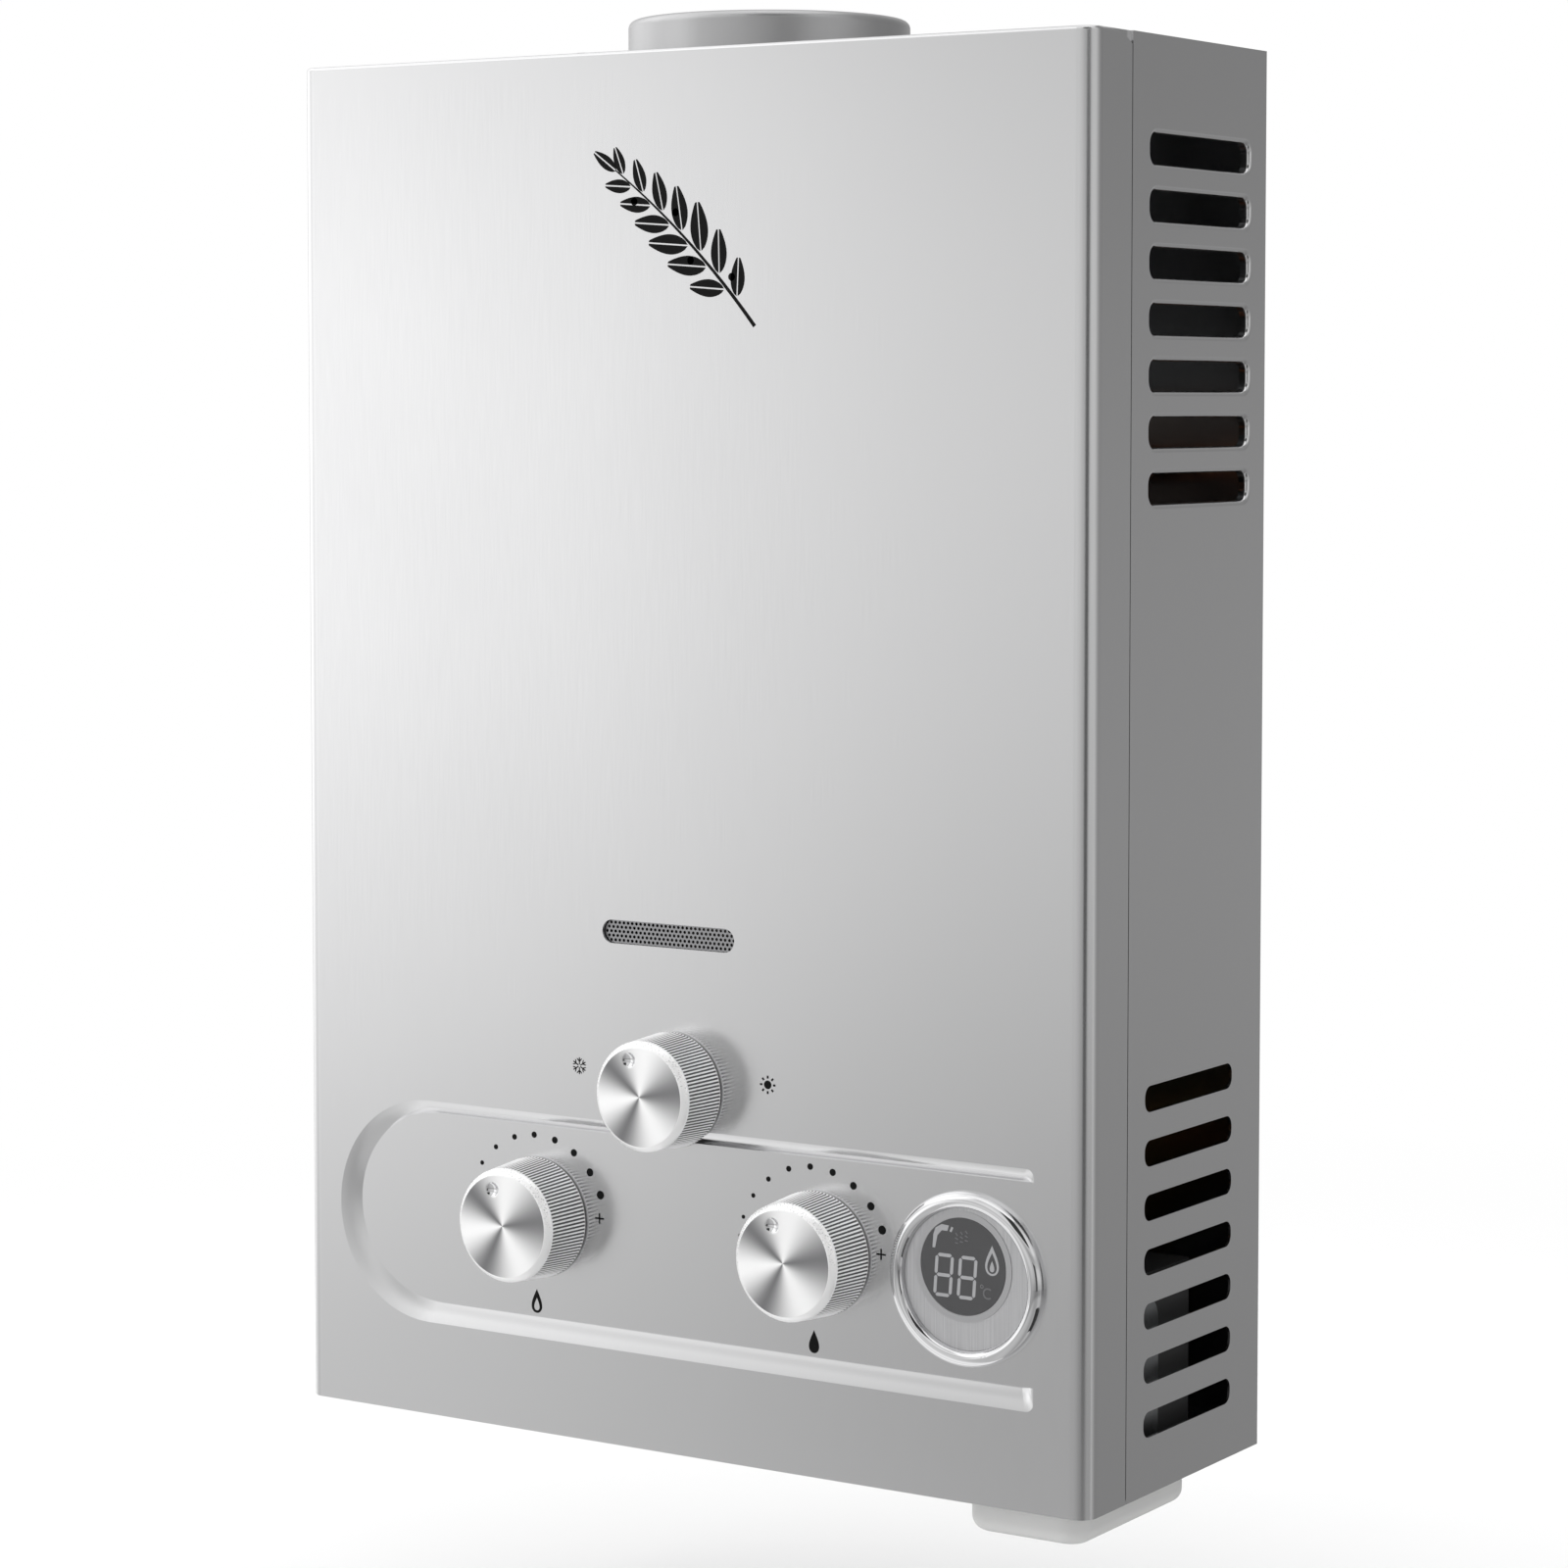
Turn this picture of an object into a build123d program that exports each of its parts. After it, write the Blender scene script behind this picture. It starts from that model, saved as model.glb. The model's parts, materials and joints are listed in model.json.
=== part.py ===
from build123d import *
import os

# Wall-hung gas water heater, in millimetres. X is to the right seen from the front, Y runs into the wall and
# Z is up. The origin is the centre of the back face, which lies on the wall. Levels are heights above the
# bottom edge of the case, setbacks are distances from the wall and offsets are distances right of the middle.

# Clearances
slip = 0.2  # between sheets that slide over each other
running = 0.05  # radial, around a turning or sliding shaft
free = 0.3  # between pieces that move past each other

# Case
case_width = 296.0
case_height = 440.0
case_depth = 112.0
sheet = 0.8
seam_gap = 0.4
panel_flange = 8.0
tongue_length = 12.0

# Holes for the wall screws
wall_hole_spread = 90.0
wall_screw_radius = 2.75
keyhole_drop = 35.0  # below the top edge
keyhole_entry_radius = 5.0
keyhole_rise = 9.0
lower_hole_level = 50.0

# Side vents, from the top one down
vent_count = 7
vent_corner = 3.4
upper_vent_length = 65.0
upper_vent_height = 9.0
upper_vent_drop = 33.8  # below the top edge
upper_vent_pitch = 16.9
upper_vent_start = 36.0  # behind the front plane
upper_vent_lip = 2.5
upper_vent_roll = 1.5  # rounding of the lips' outer edges
lower_vent_length = 57.5
lower_vent_height = 8.0
lower_vent_level = 121.0
lower_vent_pitch = 16.6
lower_vent_start = 35.0

# Front cover
cover_return = 23.7
cover_edge_radius = 5.8
cover_rim_radius = 1.2
cover_top_lip = 4.0
cover_bottom_lip = 18.0
cover_corner_run = 15.0
cover_corner_drop = 4.0

# Pressed groove round the controls, open to the right
groove_depth = 1.8
groove_left_margin = 14.3
groove_right_margin = 18.5
groove_bottom_level = 30.4
groove_top_level = 103.5
groove_left_band = 9.0
groove_top_band = 3.85
groove_bottom_band = 7.4
groove_end_corner = 2.6
groove_end_slope = 2.2
groove_sections = 5
groove_rim_pitch = 0.2  # how steeply the wall leaves the front, as a share of its mean slope

# Flame window
window_length = 50.0
window_height = 7.5
window_level = 164.1
window_offset = -2.2
mesh_pitch = 1.6
mesh_hole_radius = 0.5
mesh_margin = 4.0
mesh_thickness = 0.5

# Flue
flue_diameter = 90.0
flue_rise = 12.0
flue_rim_radius = 2.5
flue_foot_radius = 1.0
flue_base_margin = 5.0
flue_setback = 57.0
flue_screw_inset = 8.0

# Screws
screw_head_radius = 3.4
screw_head_height = 2.0
flue_screw_head_height = 1.0
screw_radius = 1.7
screw_length = 8.0
cover_screw_spread = 70.0
cover_screw_setin = 5.0

# Knobs
knob_spread = 53.0
main_knob_level = 70.0
season_knob_level = 116.0
knob_gap = 1.5
knob_length = 17.5
knob_chamfer = 0.9
main_knob_rim_diameter = 39.0
main_knob_face_diameter = 36.4
season_knob_rim_diameter = 36.5
season_knob_face_diameter = 34.6
knob_wall = 2.2
knob_boss_radius = 6.5
dimple_radius = 2.5
dimple_depth = 0.9
dimple_reach = 12.0
pointer_angle = 19.0  # of the dimple at rest, to the left of straight up
stem_radius = 3.0
stem_flat = 0.9
stem_grip = 11.0
stem_hole_radius = 6.0
stem_nut_across = 15.0
stem_nut_height = 3.0

# Display
display_offset = 106.9
display_level = 68.2
bezel_bore = 43.2
bezel_width = 4.9
bezel_rise = 3.6
bezel_outer_round = 2.8
spigot_wall = 1.2
spigot_length = 5.6
face_thickness = 1.2
face_sink = 2.5
lens_diameter = 29.5
lens_offset = -0.9
lens_lift = 3.8
lens_thickness = 1.4
lens_proud = 0.3
board_thickness = 1.2
digits_width = 20.0
digits_height = 16.0
digits_depth = 2.2
back_thickness = 1.2

# Battery bay
cell_diameter = 34.2
cell_length = 61.5
cell_clearance = 0.6
cell_side_clearance = 0.9
cell_nub_radius = 5.7
box_wall = 1.5
contact_radius = 8.0
contact_thickness = 0.6
contact_gap = 0.2
lid_right_margin = 7.0
lid_width = 41.0
lid_length = 71.0
lid_start = 9.0  # behind the front plane
lid_drop = 11.5
lid_wall = 1.5
lid_corner = 8.0
lid_bottom_radius = 4.5
lid_rib = 2.0
pin_radius = 1.2
pin_drop = 4.0
pin_inset = 2.7
lug_radius = 2.4
lug_thickness = 3.6
lug_offset = 13.8
bracket_start = 35.0
bracket_width = 23.0
bracket_level = 58.0
bracket_corner = 9.0
bracket_foot = 5.0

# Combustion chamber and heat exchanger
chamber_width = 200.0
chamber_depth = 82.0
chamber_setback = 8.0
chamber_level = 185.0
chamber_height = 150.0
fin_count = 28
fin_thickness = 0.4
fin_height = 42.0
fin_drop = 3.0  # of the top of the fins below the top of the chamber
tube_radius = 6.0
tube_wall = 0.9
tube_bend = 14.0
coil_passes = 5
coil_pitch = 15.5
coil_overhang = 8.0
riser_offset = 125.0
chamber_bracket_width = 24.0
chamber_bracket_height = 60.0
chamber_bracket_spread = 70.0
bracket_flange = 8.0

# Burner
frame_height = 60.0
burner_count = 7
burner_pitch = 26.0
burner_width = 10.0
burner_height = 44.0
burner_drop = 8.0
burner_slot_width = 3.0
burner_slot_depth = 6.0
burner_mouth_radius = 4.0
burner_mouth_depth = 24.0
nozzle_drop = 45.0
nozzle_radius = 2.5
nozzle_length = 8.0
nozzle_bore = 0.8
nozzle_hole_radius = 3.5
manifold_width = 192.0
manifold_depth = 14.0
manifold_margin = 9.0
season_boss = 12.0
rotor_radius = 6.0
rotor_length = 8.0

# Electrodes
electrode_spread = 26.0
electrode_drop = 4.0
insulator_radius = 3.5
insulator_front = 6.0
insulator_length = 20.0
electrode_radius = 0.9
electrode_reach = 14.0

# Gas and water valves
valve_width = 54.0
valve_height = 56.0
valve_corner = 5.6
valve_bracket_inset = 7.0
valve_start = 8.0  # behind the front plane
valve_setback = 30.0
rod_setback = 60.0
rod_radius = 2.5
rod_travel = 4.0
gas_bore_radius = 12.0
gas_seat_radius = 6.0
gas_seat_depth = 14.0
gas_disc_radius = 9.5
gas_disc_thickness = 3.0
gas_leg_radius = 7.0
gas_leg_bore = 4.0
plug_radius = 8.0
plug_length = 18.0
spring_radius = 9.0
spring_wall = 1.2
coil_radius = 14.0
coil_length = 34.0
coil_end = 4.0
plunger_radius = 4.0
plunger_travel = 2.0
plunger_reach = 5.0
needle_radius = 4.0
needle_length = 15.0
needle_inset = 20.0
needle_travel = 4.0
diaphragm_radius = 30.0
diaphragm_plate_radius = 19.0
diaphragm_plate_thickness = 2.0
diaphragm_thickness = 1.5
diaphragm_housing = 10.0
diaphragm_cavity_radius = 24.0
diaphragm_cavity_depth = 7.5
water_port_setback = 80.0
water_port_rise = 12.0
water_port_depth = 7.0
water_way_rise = 20.0
collar_radius = 5.0
collar_length = 4.0
collar_offset = -7.0
switch_depth = 12.0
switch_height = 12.0
switch_length = 22.0
switch_ear = 1.2
lever_thickness = 1.0
lever_length = 7.0
lever_pin_radius = 0.7
lever_gap = 0.5
lever_overlap = 1.25  # of the lever's tip over the collar

# Pipe fittings
pipe_thread_radius = 10.48
fitting_setback = 40.0
fitting_reach = 18.0
fitting_bore = 6.0
fitting_relief_length = 1.5
fitting_relief_depth = 1.0
fitting_hex = 24.0
fitting_hex_height = 12.0
hot_outlet_offset = -105.0
hot_outlet_level = 22.0
nut_hex = 30.0
nut_height = 5.0

# Drain plug
drain_offset = 72.0
drain_setback = 62.0
drain_radius = 4.5
drain_boss_radius = 7.0
drain_boss_level = 10.0
drain_depth = 14.0
drain_head_radius = 9.0
drain_head_height = 7.0
drain_lobes = 12
drain_lobe_radius = 1.4

# Other fixed pieces
igniter_width = 24.0
igniter_depth = 42.0
igniter_height = 80.0
igniter_level = 140.0
igniter_start = 27.0  # behind the front plane
igniter_corner = 3.0
thermostat_offset = 60.0
thermostat_rise = 70.0
thermostat_radius = 8.0
thermostat_height = 6.0
probe_level = 160.0
probe_height = 14.0
probe_wall = 3.0
probe_stem = 9.0
probe_stem_radius = 2.5

# Planes and axes that several pieces share
left = -case_width / 2
right = case_width / 2
bottom = -case_height / 2
top = case_height / 2
front = -case_depth
inside = right - sheet
seam = front + cover_return + seam_gap
tongue_inset = sheet + slip
panel_top = bottom + 2 * sheet
flue_base = flue_diameter / 2 + flue_base_margin
gas_x = -knob_spread
water_x = knob_spread
main_z = bottom + main_knob_level
season_z = bottom + season_knob_level
chamber_back = -chamber_setback
chamber_front = chamber_back - chamber_depth
chamber_middle = (chamber_back + chamber_front) / 2
chamber_bottom = bottom + chamber_level
chamber_top = chamber_bottom + chamber_height
coil_z = chamber_top - fin_drop - fin_height / 2
coil_front = chamber_middle - coil_pitch * (coil_passes - 1) / 2
coil_back = chamber_middle + coil_pitch * (coil_passes - 1) / 2
coil_end_x = chamber_width / 2 + coil_overhang
nozzle_z = chamber_bottom - nozzle_drop
manifold_front = chamber_front - manifold_depth
manifold_low = season_z - season_boss
leg_y = (manifold_front + chamber_front) / 2
valve_front = front + valve_start
valve_back = -valve_setback
valve_low = main_z - valve_height / 2
valve_high = main_z + valve_height / 2
rod_y = -rod_setback
gas_left = gas_x - valve_width / 2
gas_right = gas_x + valve_width / 2
water_left = water_x - valve_width / 2
water_right = water_x + valve_width / 2
membrane_x = water_left - diaphragm_housing
fitting_y = -fitting_setback
fitting_low = bottom - fitting_reach
display_z = bottom + display_level
lens_x = display_offset + lens_offset
lens_z = display_z + lens_lift
lid_x = right - lid_right_margin - lid_width / 2
lid_front = front + lid_start
lid_back = lid_front + lid_length
lid_top = bottom - free
bay_y = (lid_front + lid_back) / 2
bay_width = cell_diameter + 2 * cell_side_clearance
bay_length = 2 * cell_diameter + 2 * cell_clearance
cell_low = bottom + sheet
cell_high = cell_low + cell_length
bay_roof = cell_high + contact_gap + contact_thickness
pin_y = lid_back - pin_inset
pin_z = bottom - pin_drop
water_port_y = -water_port_setback
water_port_z = main_z + water_port_rise


def block(x, y, z):
    """A box between pairs of limits."""
    size = [high - low for low, high in (x, y, z)]
    middle = [(low + high) / 2 for low, high in (x, y, z)]
    return Pos(*middle) * Box(*size)


def rod(axis, at, span, radius):
    """A cylinder along an axis: at gives its other two coordinates and span its two ends."""
    middle = (span[0] + span[1]) / 2
    body = Cylinder(radius, span[1] - span[0])
    if axis == "X":
        return Pos(middle, at[0], at[1]) * Rot(0, 90, 0) * body
    if axis == "Y":
        return Pos(at[0], middle, at[1]) * Rot(90, 0, 0) * body
    return Pos(at[0], at[1], middle) * body


def ring(axis, at, span, outer, inner):
    """A cylinder with a bore right through it."""
    return rod(axis, at, span, outer) - rod(axis, at, span, inner)


def hexagon(at, span, across):
    """An upright hexagonal prism."""
    outline = RegularPolygon(across / 2, 6, major_radius=False)
    return Pos(at[0], at[1], span[0]) * extrude(outline, amount=span[1] - span[0])


def facing(sketch, y):
    """A sketch of X and Z, set upright at a depth and facing out of the front."""
    return Plane(origin=(0, y, 0), x_dir=(1, 0, 0), z_dir=(0, -1, 0)) * sketch


def upright(sketch, y):
    """A sketch of X and Z made solid between two depths."""
    return extrude(facing(sketch, y[1]), amount=y[1] - y[0])


def pipe(points, bend, outer, wall):
    """A hollow tube along straight runs joined by tangent arcs."""
    path = FilletPolyline(*points, radius=bend)
    section = Circle(outer) - Circle(outer - wall)
    return sweep(Plane(origin=path @ 0, z_dir=path % 0) * section, path=path)


def group(solids):
    """Separate solids that share one node."""
    return Compound(children=list(solids))


def spread(count, pitch):
    """Places either side of zero at an even pitch."""
    return [(i - (count - 1) / 2) * pitch for i in range(count)]


def hat(x, y, z, flange):
    """A folded hat channel: crown at the front, legs above and below, flanges against the back plate."""
    back = (y[1] - sheet, y[1])
    shape = block(x, (y[0], y[0] + sheet), z)
    shape += block(x, y, (z[0], z[0] + sheet))
    shape += block(x, y, (z[1] - sheet, z[1]))
    shape += block(x, back, (z[0] - flange, z[0]))
    return shape + block(x, back, (z[1], z[1] + flange))


def pan_screw(base, way, head_height):
    """A pan-head screw along Z whose head rests at base and whose shank points up or down."""
    x, y, z = base
    head = rod("Z", (x, y), sorted((z, z - way * head_height)), screw_head_radius)
    shank = rod("Z", (x, y), sorted((z, z + way * screw_length)), screw_radius)
    edge = head.edges().filter_by(GeomType.CIRCLE).sort_by(Axis.Z)[0 if way > 0 else -1]
    return fillet(edge, head_height / 2) + shank


def cover_screw_places():
    y = front + cover_bottom_lip - cover_screw_setin
    return [(x, y, bottom) for x in (-cover_screw_spread, cover_screw_spread)]


def flue_screw_places():
    reach = flue_base - flue_screw_inset
    return [(x, y - flue_setback, top) for x in (-reach, reach) for y in (-reach, reach)]


def case_screws():
    screws = [pan_screw(place, 1, screw_head_height) for place in cover_screw_places()]
    screws += [pan_screw(place, -1, flue_screw_head_height) for place in flue_screw_places()]
    return group(screws)


def vents(length, height, first, pitch, start, span):
    """One solid for each vent of a row, running along X."""
    outline = RectangleRounded(length, height, vent_corner)
    slot = extrude(Plane.YZ * outline, amount=span[1] - span[0])
    y = front + start + length / 2
    return [Pos(span[0], y, first - i * pitch) * slot for i in range(vent_count)]


def upper_vents(grow, span):
    length = upper_vent_length + 2 * grow
    height = upper_vent_height + 2 * grow
    first = top - upper_vent_drop
    return vents(length, height, first, upper_vent_pitch, upper_vent_start - grow, span)


def lower_vents(span):
    length = lower_vent_length
    height = lower_vent_height
    first = bottom + lower_vent_level
    return vents(length, height, first, lower_vent_pitch, lower_vent_start, span)


def upper_vent_rims(shape, side):
    """Outer edges of the upper vents in one side of the casing."""
    wall = shape.faces().filter_by(Axis.X).sort_by(Axis.X)[-1 if side > 0 else 0]
    last = top - upper_vent_drop - (vent_count - 0.5) * upper_vent_pitch
    rims = [rim for rim in wall.inner_wires() if rim.center().Z > last]
    return [edge for rim in rims for edge in rim.edges()]


def rear_casing():
    shape = block((left, right), (-sheet, 0), (bottom, top))
    tongue_z = (panel_top, top - sheet)
    for side in (-1, 1):
        shape += block(sorted((side * inside, side * right)), (seam, 0), (bottom, top))
        step = sorted((side * (inside - tongue_inset), side * inside))
        shape += block(step, (seam, seam + sheet), tongue_z)
        tongue = sorted((side * (inside - tongue_inset), side * (right - tongue_inset)))
        shape += block(tongue, (seam - tongue_length, seam + sheet), tongue_z)
        lip = sorted((side * (inside - upper_vent_lip), side * inside))
        shape += upper_vents(sheet, lip)
    shape -= upper_vents(0, (left, right))
    for side in (-1, 1):
        shape = fillet(upper_vent_rims(shape, side), upper_vent_roll)
    shape -= lower_vents((left, right))
    entry_z = top - keyhole_drop
    for x in (-wall_hole_spread, wall_hole_spread):
        shape -= rod("Y", (x, entry_z), (-sheet, 0), keyhole_entry_radius)
        shape -= rod("Y", (x, entry_z + keyhole_rise), (-sheet, 0), wall_screw_radius)
        neck = (x - wall_screw_radius, x + wall_screw_radius)
        shape -= block(neck, (-sheet, 0), (entry_z, entry_z + keyhole_rise))
        shape -= rod("Y", (x, bottom + lower_hole_level), (-sheet, 0), wall_screw_radius)
    return shape


def quarter(centre, start, end):
    """A quarter circle between two points."""
    middle = Vector(*centre)
    spoke = Vector(*start) - middle
    way = spoke + Vector(*end) - middle
    return ThreePointArc(start, middle + way.normalized() * spoke.length, end)


def groove_outline(middle, radius, end, corner, y):
    """The outline of the control bay: a half circle on the left and small round corners on the right."""
    x, z = middle
    high = z + radius
    low = z - radius
    turn = end - corner
    edges = [
        Line((x, high), (turn, high)),
        quarter((turn, high - corner), (turn, high), (end, high - corner)),
        Line((end, high - corner), (end, low + corner)),
        quarter((turn, low + corner), (end, low + corner), (turn, low)),
        Line((turn, low), (x, low)),
        ThreePointArc((x, low), (x - radius, z), (x, high)),
    ]
    return facing(make_face(edges), y)


def groove(lift, grow):
    """The pressed groove: its outer wall rolls down to the inner outline, where it ends in a step."""
    high = bottom + groove_top_level
    low = bottom + groove_bottom_level
    outer_radius = (high - low) / 2
    outer_x = left + groove_left_margin + outer_radius
    inner_high = high - groove_top_band
    inner_low = low + groove_bottom_band
    inner_radius = (inner_high - inner_low) / 2
    inner_x = left + groove_left_margin + groove_left_band + inner_radius
    inner_middle = (inner_x, (inner_high + inner_low) / 2)
    end = right - groove_right_margin + grow
    depth = groove_depth + lift
    sections = []
    for step in range(groove_sections):
        share = step / (groove_sections - 1)
        sink = share * (groove_rim_pitch + (1 - groove_rim_pitch) * share)
        x = outer_x + share * (inner_x - outer_x)
        z = (high + low) / 2 + share * (inner_middle[1] - (high + low) / 2)
        radius = (outer_radius + grow) * (1 - share) + inner_radius * share
        section_end = end - share * groove_end_slope
        sections.append(groove_outline((x, z), radius, section_end, groove_end_corner, front + depth * sink))
    bowl = loft(sections)
    island_end = end + inner_radius
    island = groove_outline(inner_middle, inner_radius - grow, island_end, groove_end_corner, front + depth)
    return bowl - extrude(island, amount=depth)


def front_cover():
    shape = block((left, right), (front, front + cover_return), (bottom, top))
    shape = fillet(shape.edges().filter_by(Axis.Z).group_by(Axis.Y)[0], cover_edge_radius)
    for face in (shape.faces().sort_by(Axis.Z)[0], shape.faces().sort_by(Axis.Z)[-1]):
        rim = [edge for edge in face.edges() if edge.center().Y < front + cover_return - sheet]
        shape = fillet(rim, cover_rim_radius)
    back = front + cover_return
    wide = (-inside, inside)
    hollow = block(wide, (front + sheet, back), (bottom + sheet, top - sheet))
    shape -= fillet(hollow.edges().filter_by(Axis.Z).group_by(Axis.Y)[0], cover_edge_radius - sheet)
    shape -= block(wide, (front + cover_top_lip, back), (top - sheet, top))
    shape -= block(wide, (front + cover_bottom_lip, back), (bottom, bottom + sheet))
    start = back - cover_corner_run
    low = top - cover_corner_drop
    outline = [TangentArc((start, top), (back, low), tangent=(1, 0)), Line((back, low), (back, top))]
    outline.append(Line((back, top), (start, top)))
    shape -= extrude(Plane.YZ * make_face(outline), amount=case_width / 2, both=True)
    shape += groove(sheet, sheet)
    shape -= groove(0, 0)
    wall = (front, front + sheet)
    window = Pos(window_offset, bottom + window_level) * SlotOverall(window_length, window_height)
    shape -= upright(window, wall)
    for x, z in ((gas_x, main_z), (water_x, main_z), (0, season_z)):
        shape -= rod("Y", (x, z), wall, stem_hole_radius)
    shape -= rod("Y", (display_offset, display_z), wall, bezel_bore / 2 + spigot_wall + slip)
    for x, y, z in cover_screw_places():
        shape -= rod("Z", (x, y), (z, z + sheet), screw_radius)
    return shape - battery_mouth((bottom, bottom + sheet))


def flame_window_mesh():
    length = window_length + 2 * mesh_margin
    height = window_height + 2 * mesh_margin
    row_pitch = mesh_pitch * 0.75**0.5
    rows = int((window_height / 2 + mesh_hole_radius) / row_pitch)
    columns = int((window_length / 2 + mesh_hole_radius) / mesh_pitch)
    hole = Wire.make_circle(mesh_hole_radius)
    holes = []
    for row in range(-rows, rows + 1):
        shift = mesh_pitch / 2 * (row % 2)
        for column in range(-columns, columns + 1):
            holes.append(Pos(column * mesh_pitch + shift, row * row_pitch) * hole)
    sheet_face = Face(Wire.make_rect(length, height), holes)
    place = Pos(window_offset, bottom + window_level) * sheet_face
    return upright(place, (front + sheet, front + sheet + mesh_thickness))


def side_flanges(z):
    """Flanges of the top or bottom panel along both sides and the back of the casing."""
    shape = block((-inside, inside), (-2 * sheet, -sheet), z)
    for side in (-1, 1):
        flange = sorted((side * (inside - sheet), side * inside))
        shape += block(flange, (seam + sheet + slip, -sheet), z)
    return shape


def top_panel():
    reach = right - tongue_inset
    shape = block((-inside, inside), (seam, -sheet), (top - sheet, top))
    shape += block((-reach, reach), (front + cover_top_lip + seam_gap, seam), (top - sheet, top))
    shape += side_flanges((top - panel_flange, top - sheet))
    shape -= rod("Z", (0, -flue_setback), (top - sheet, top), flue_diameter / 2 + flue_foot_radius + slip)
    for x, y, z in flue_screw_places():
        shape -= rod("Z", (x, y), (z - sheet, z), screw_radius)
    return shape


def lug_ways():
    """X limits of the two battery-lid lugs."""
    places = (lid_x - lug_offset, lid_x + lug_offset)
    return [(x - lug_thickness / 2, x + lug_thickness / 2) for x in places]


def battery_mouth(z):
    """The way for the cells through the bottom of the case."""
    half = bay_width / 2
    return block((lid_x - half, lid_x + half), (bay_y - bay_length / 2, bay_y + bay_length / 2), z)


def bottom_panel():
    reach = right - sheet - tongue_inset
    z = (bottom + sheet, panel_top)
    shape = block((-reach, reach), (front + sheet + slip, seam), z)
    shape = fillet(shape.edges().filter_by(Axis.Z).group_by(Axis.Y)[0], cover_edge_radius - sheet)
    shape += block((-inside, inside), (seam, -sheet), z)
    shape += side_flanges((panel_top, bottom + panel_flange))
    shape -= battery_mouth(z)
    for x in (hot_outlet_offset, gas_x, water_x):
        shape -= rod("Z", (x, fitting_y), z, pipe_thread_radius + slip)
    shape -= rod("Z", (drain_offset, -drain_setback), z, drain_radius + free)
    for x, y, _ in cover_screw_places():
        shape -= rod("Z", (x, y), z, screw_radius)
    return shape


def flue_collar():
    """A square base plate with a tube that bends out of it and rolls in at its rim."""
    outer = flue_diameter / 2
    high = top + flue_rise
    low = top - 2 * sheet
    rim = (outer - flue_rim_radius, high - flue_rim_radius)
    foot = (outer + flue_foot_radius, low + sheet + flue_foot_radius)
    edges = [
        Line((foot[0], low), (foot[0], low + sheet)),
        quarter(foot, (foot[0], low + sheet), (outer, foot[1])),
        Line((outer, foot[1]), (outer, rim[1])),
        quarter(rim, (outer, rim[1]), (rim[0], high)),
        Line((rim[0], high), (rim[0], high - sheet)),
        quarter(rim, (rim[0], high - sheet), (outer - sheet, rim[1])),
        Line((outer - sheet, rim[1]), (outer - sheet, foot[1])),
        quarter(foot, (outer - sheet, foot[1]), (foot[0], low)),
    ]
    shape = Pos(0, -flue_setback, 0) * revolve(Plane.XZ * make_face(edges), axis=Axis.Z)
    base = block(*flue_base_limits(), (low, low + sheet))
    shape += base - rod("Z", (0, -flue_setback), (low, low + sheet), foot[0])
    for x, y, _ in flue_screw_places():
        shape -= rod("Z", (x, y), (low, low + sheet), screw_radius)
    return shape


def flue_base_limits():
    return (-flue_base, flue_base), (-flue_setback - flue_base, flue_base - flue_setback)


def hood_solid(inset, low, high):
    base = Pos(0, chamber_middle, low) * Rectangle(chamber_width - 2 * inset, chamber_depth - 2 * inset)
    width = 2 * (flue_base - inset)
    crown = Pos(0, -flue_setback, high) * Rectangle(width, width)
    return loft([base, crown], ruled=True)


def flue_hood():
    high = top - 2 * sheet
    shape = hood_solid(0, chamber_top, high - sheet) - hood_solid(sheet, chamber_top, high - sheet)
    shape += block(*flue_base_limits(), (high - sheet, high))
    shape -= rod("Z", (0, -flue_setback), (high - sheet, high), flue_diameter / 2 - sheet)
    for x, y, _ in flue_screw_places():
        shape -= rod("Z", (x, y), (high - sheet, high), screw_radius + slip)
    return shape


def knob(x, z, rim_diameter, face_diameter):
    """A hollow knob on its stem, with a round dimple that points."""
    back = front - knob_gap
    face = back - knob_length
    rim = rim_diameter / 2
    tip = face_diameter / 2
    edges = Polyline(
        (0, face),
        (tip - knob_chamfer, face),
        (tip, face + knob_chamfer),
        (rim, back),
        (rim - knob_wall, back),
        (tip - knob_wall, face + knob_wall),
        (0, face + knob_wall),
        (0, face),
    )
    shape = Pos(x, 0, z) * revolve(Plane.XY * make_face(edges), axis=Axis.Y)
    shape += rod("Y", (x, z), (face + knob_wall, back), knob_boss_radius)
    shape -= stem_tip(x, z, running)
    reach = Vector(0, 0, dimple_reach).rotate(Axis.Y, -pointer_angle)
    ball = (dimple_radius**2 + dimple_depth**2) / (2 * dimple_depth)
    return shape - Pos(x + reach.X, face + dimple_depth - ball, z + reach.Z) * Sphere(ball)


def stem_tip(x, z, grow):
    """The flatted end of a stem, or with grow the socket for it."""
    back = front - knob_gap
    span = (back - stem_grip, back)
    flat = z + stem_radius - stem_flat + grow
    wide = (x - knob_boss_radius, x + knob_boss_radius)
    shape = rod("Y", (x, z), span, stem_radius + grow)
    return shape - block(wide, span, (flat, flat + stem_radius))


def valve_stem(x, z, plug, start, end):
    """A stem from its knob back to a plug that turns in the valve."""
    shape = stem_tip(x, z, 0) + rod("Y", (x, z), (front - knob_gap, end), stem_radius)
    return shape + rod("Y", (x, z), (start, end), plug)


def gas_knob():
    return knob(gas_x, main_z, main_knob_rim_diameter, main_knob_face_diameter)


def water_knob():
    return knob(water_x, main_z, main_knob_rim_diameter, main_knob_face_diameter)


def season_knob():
    return knob(0, season_z, season_knob_rim_diameter, season_knob_face_diameter)


def gas_valve_stem():
    return valve_stem(gas_x, main_z, plug_radius, valve_front + free, valve_front + plug_length)


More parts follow.
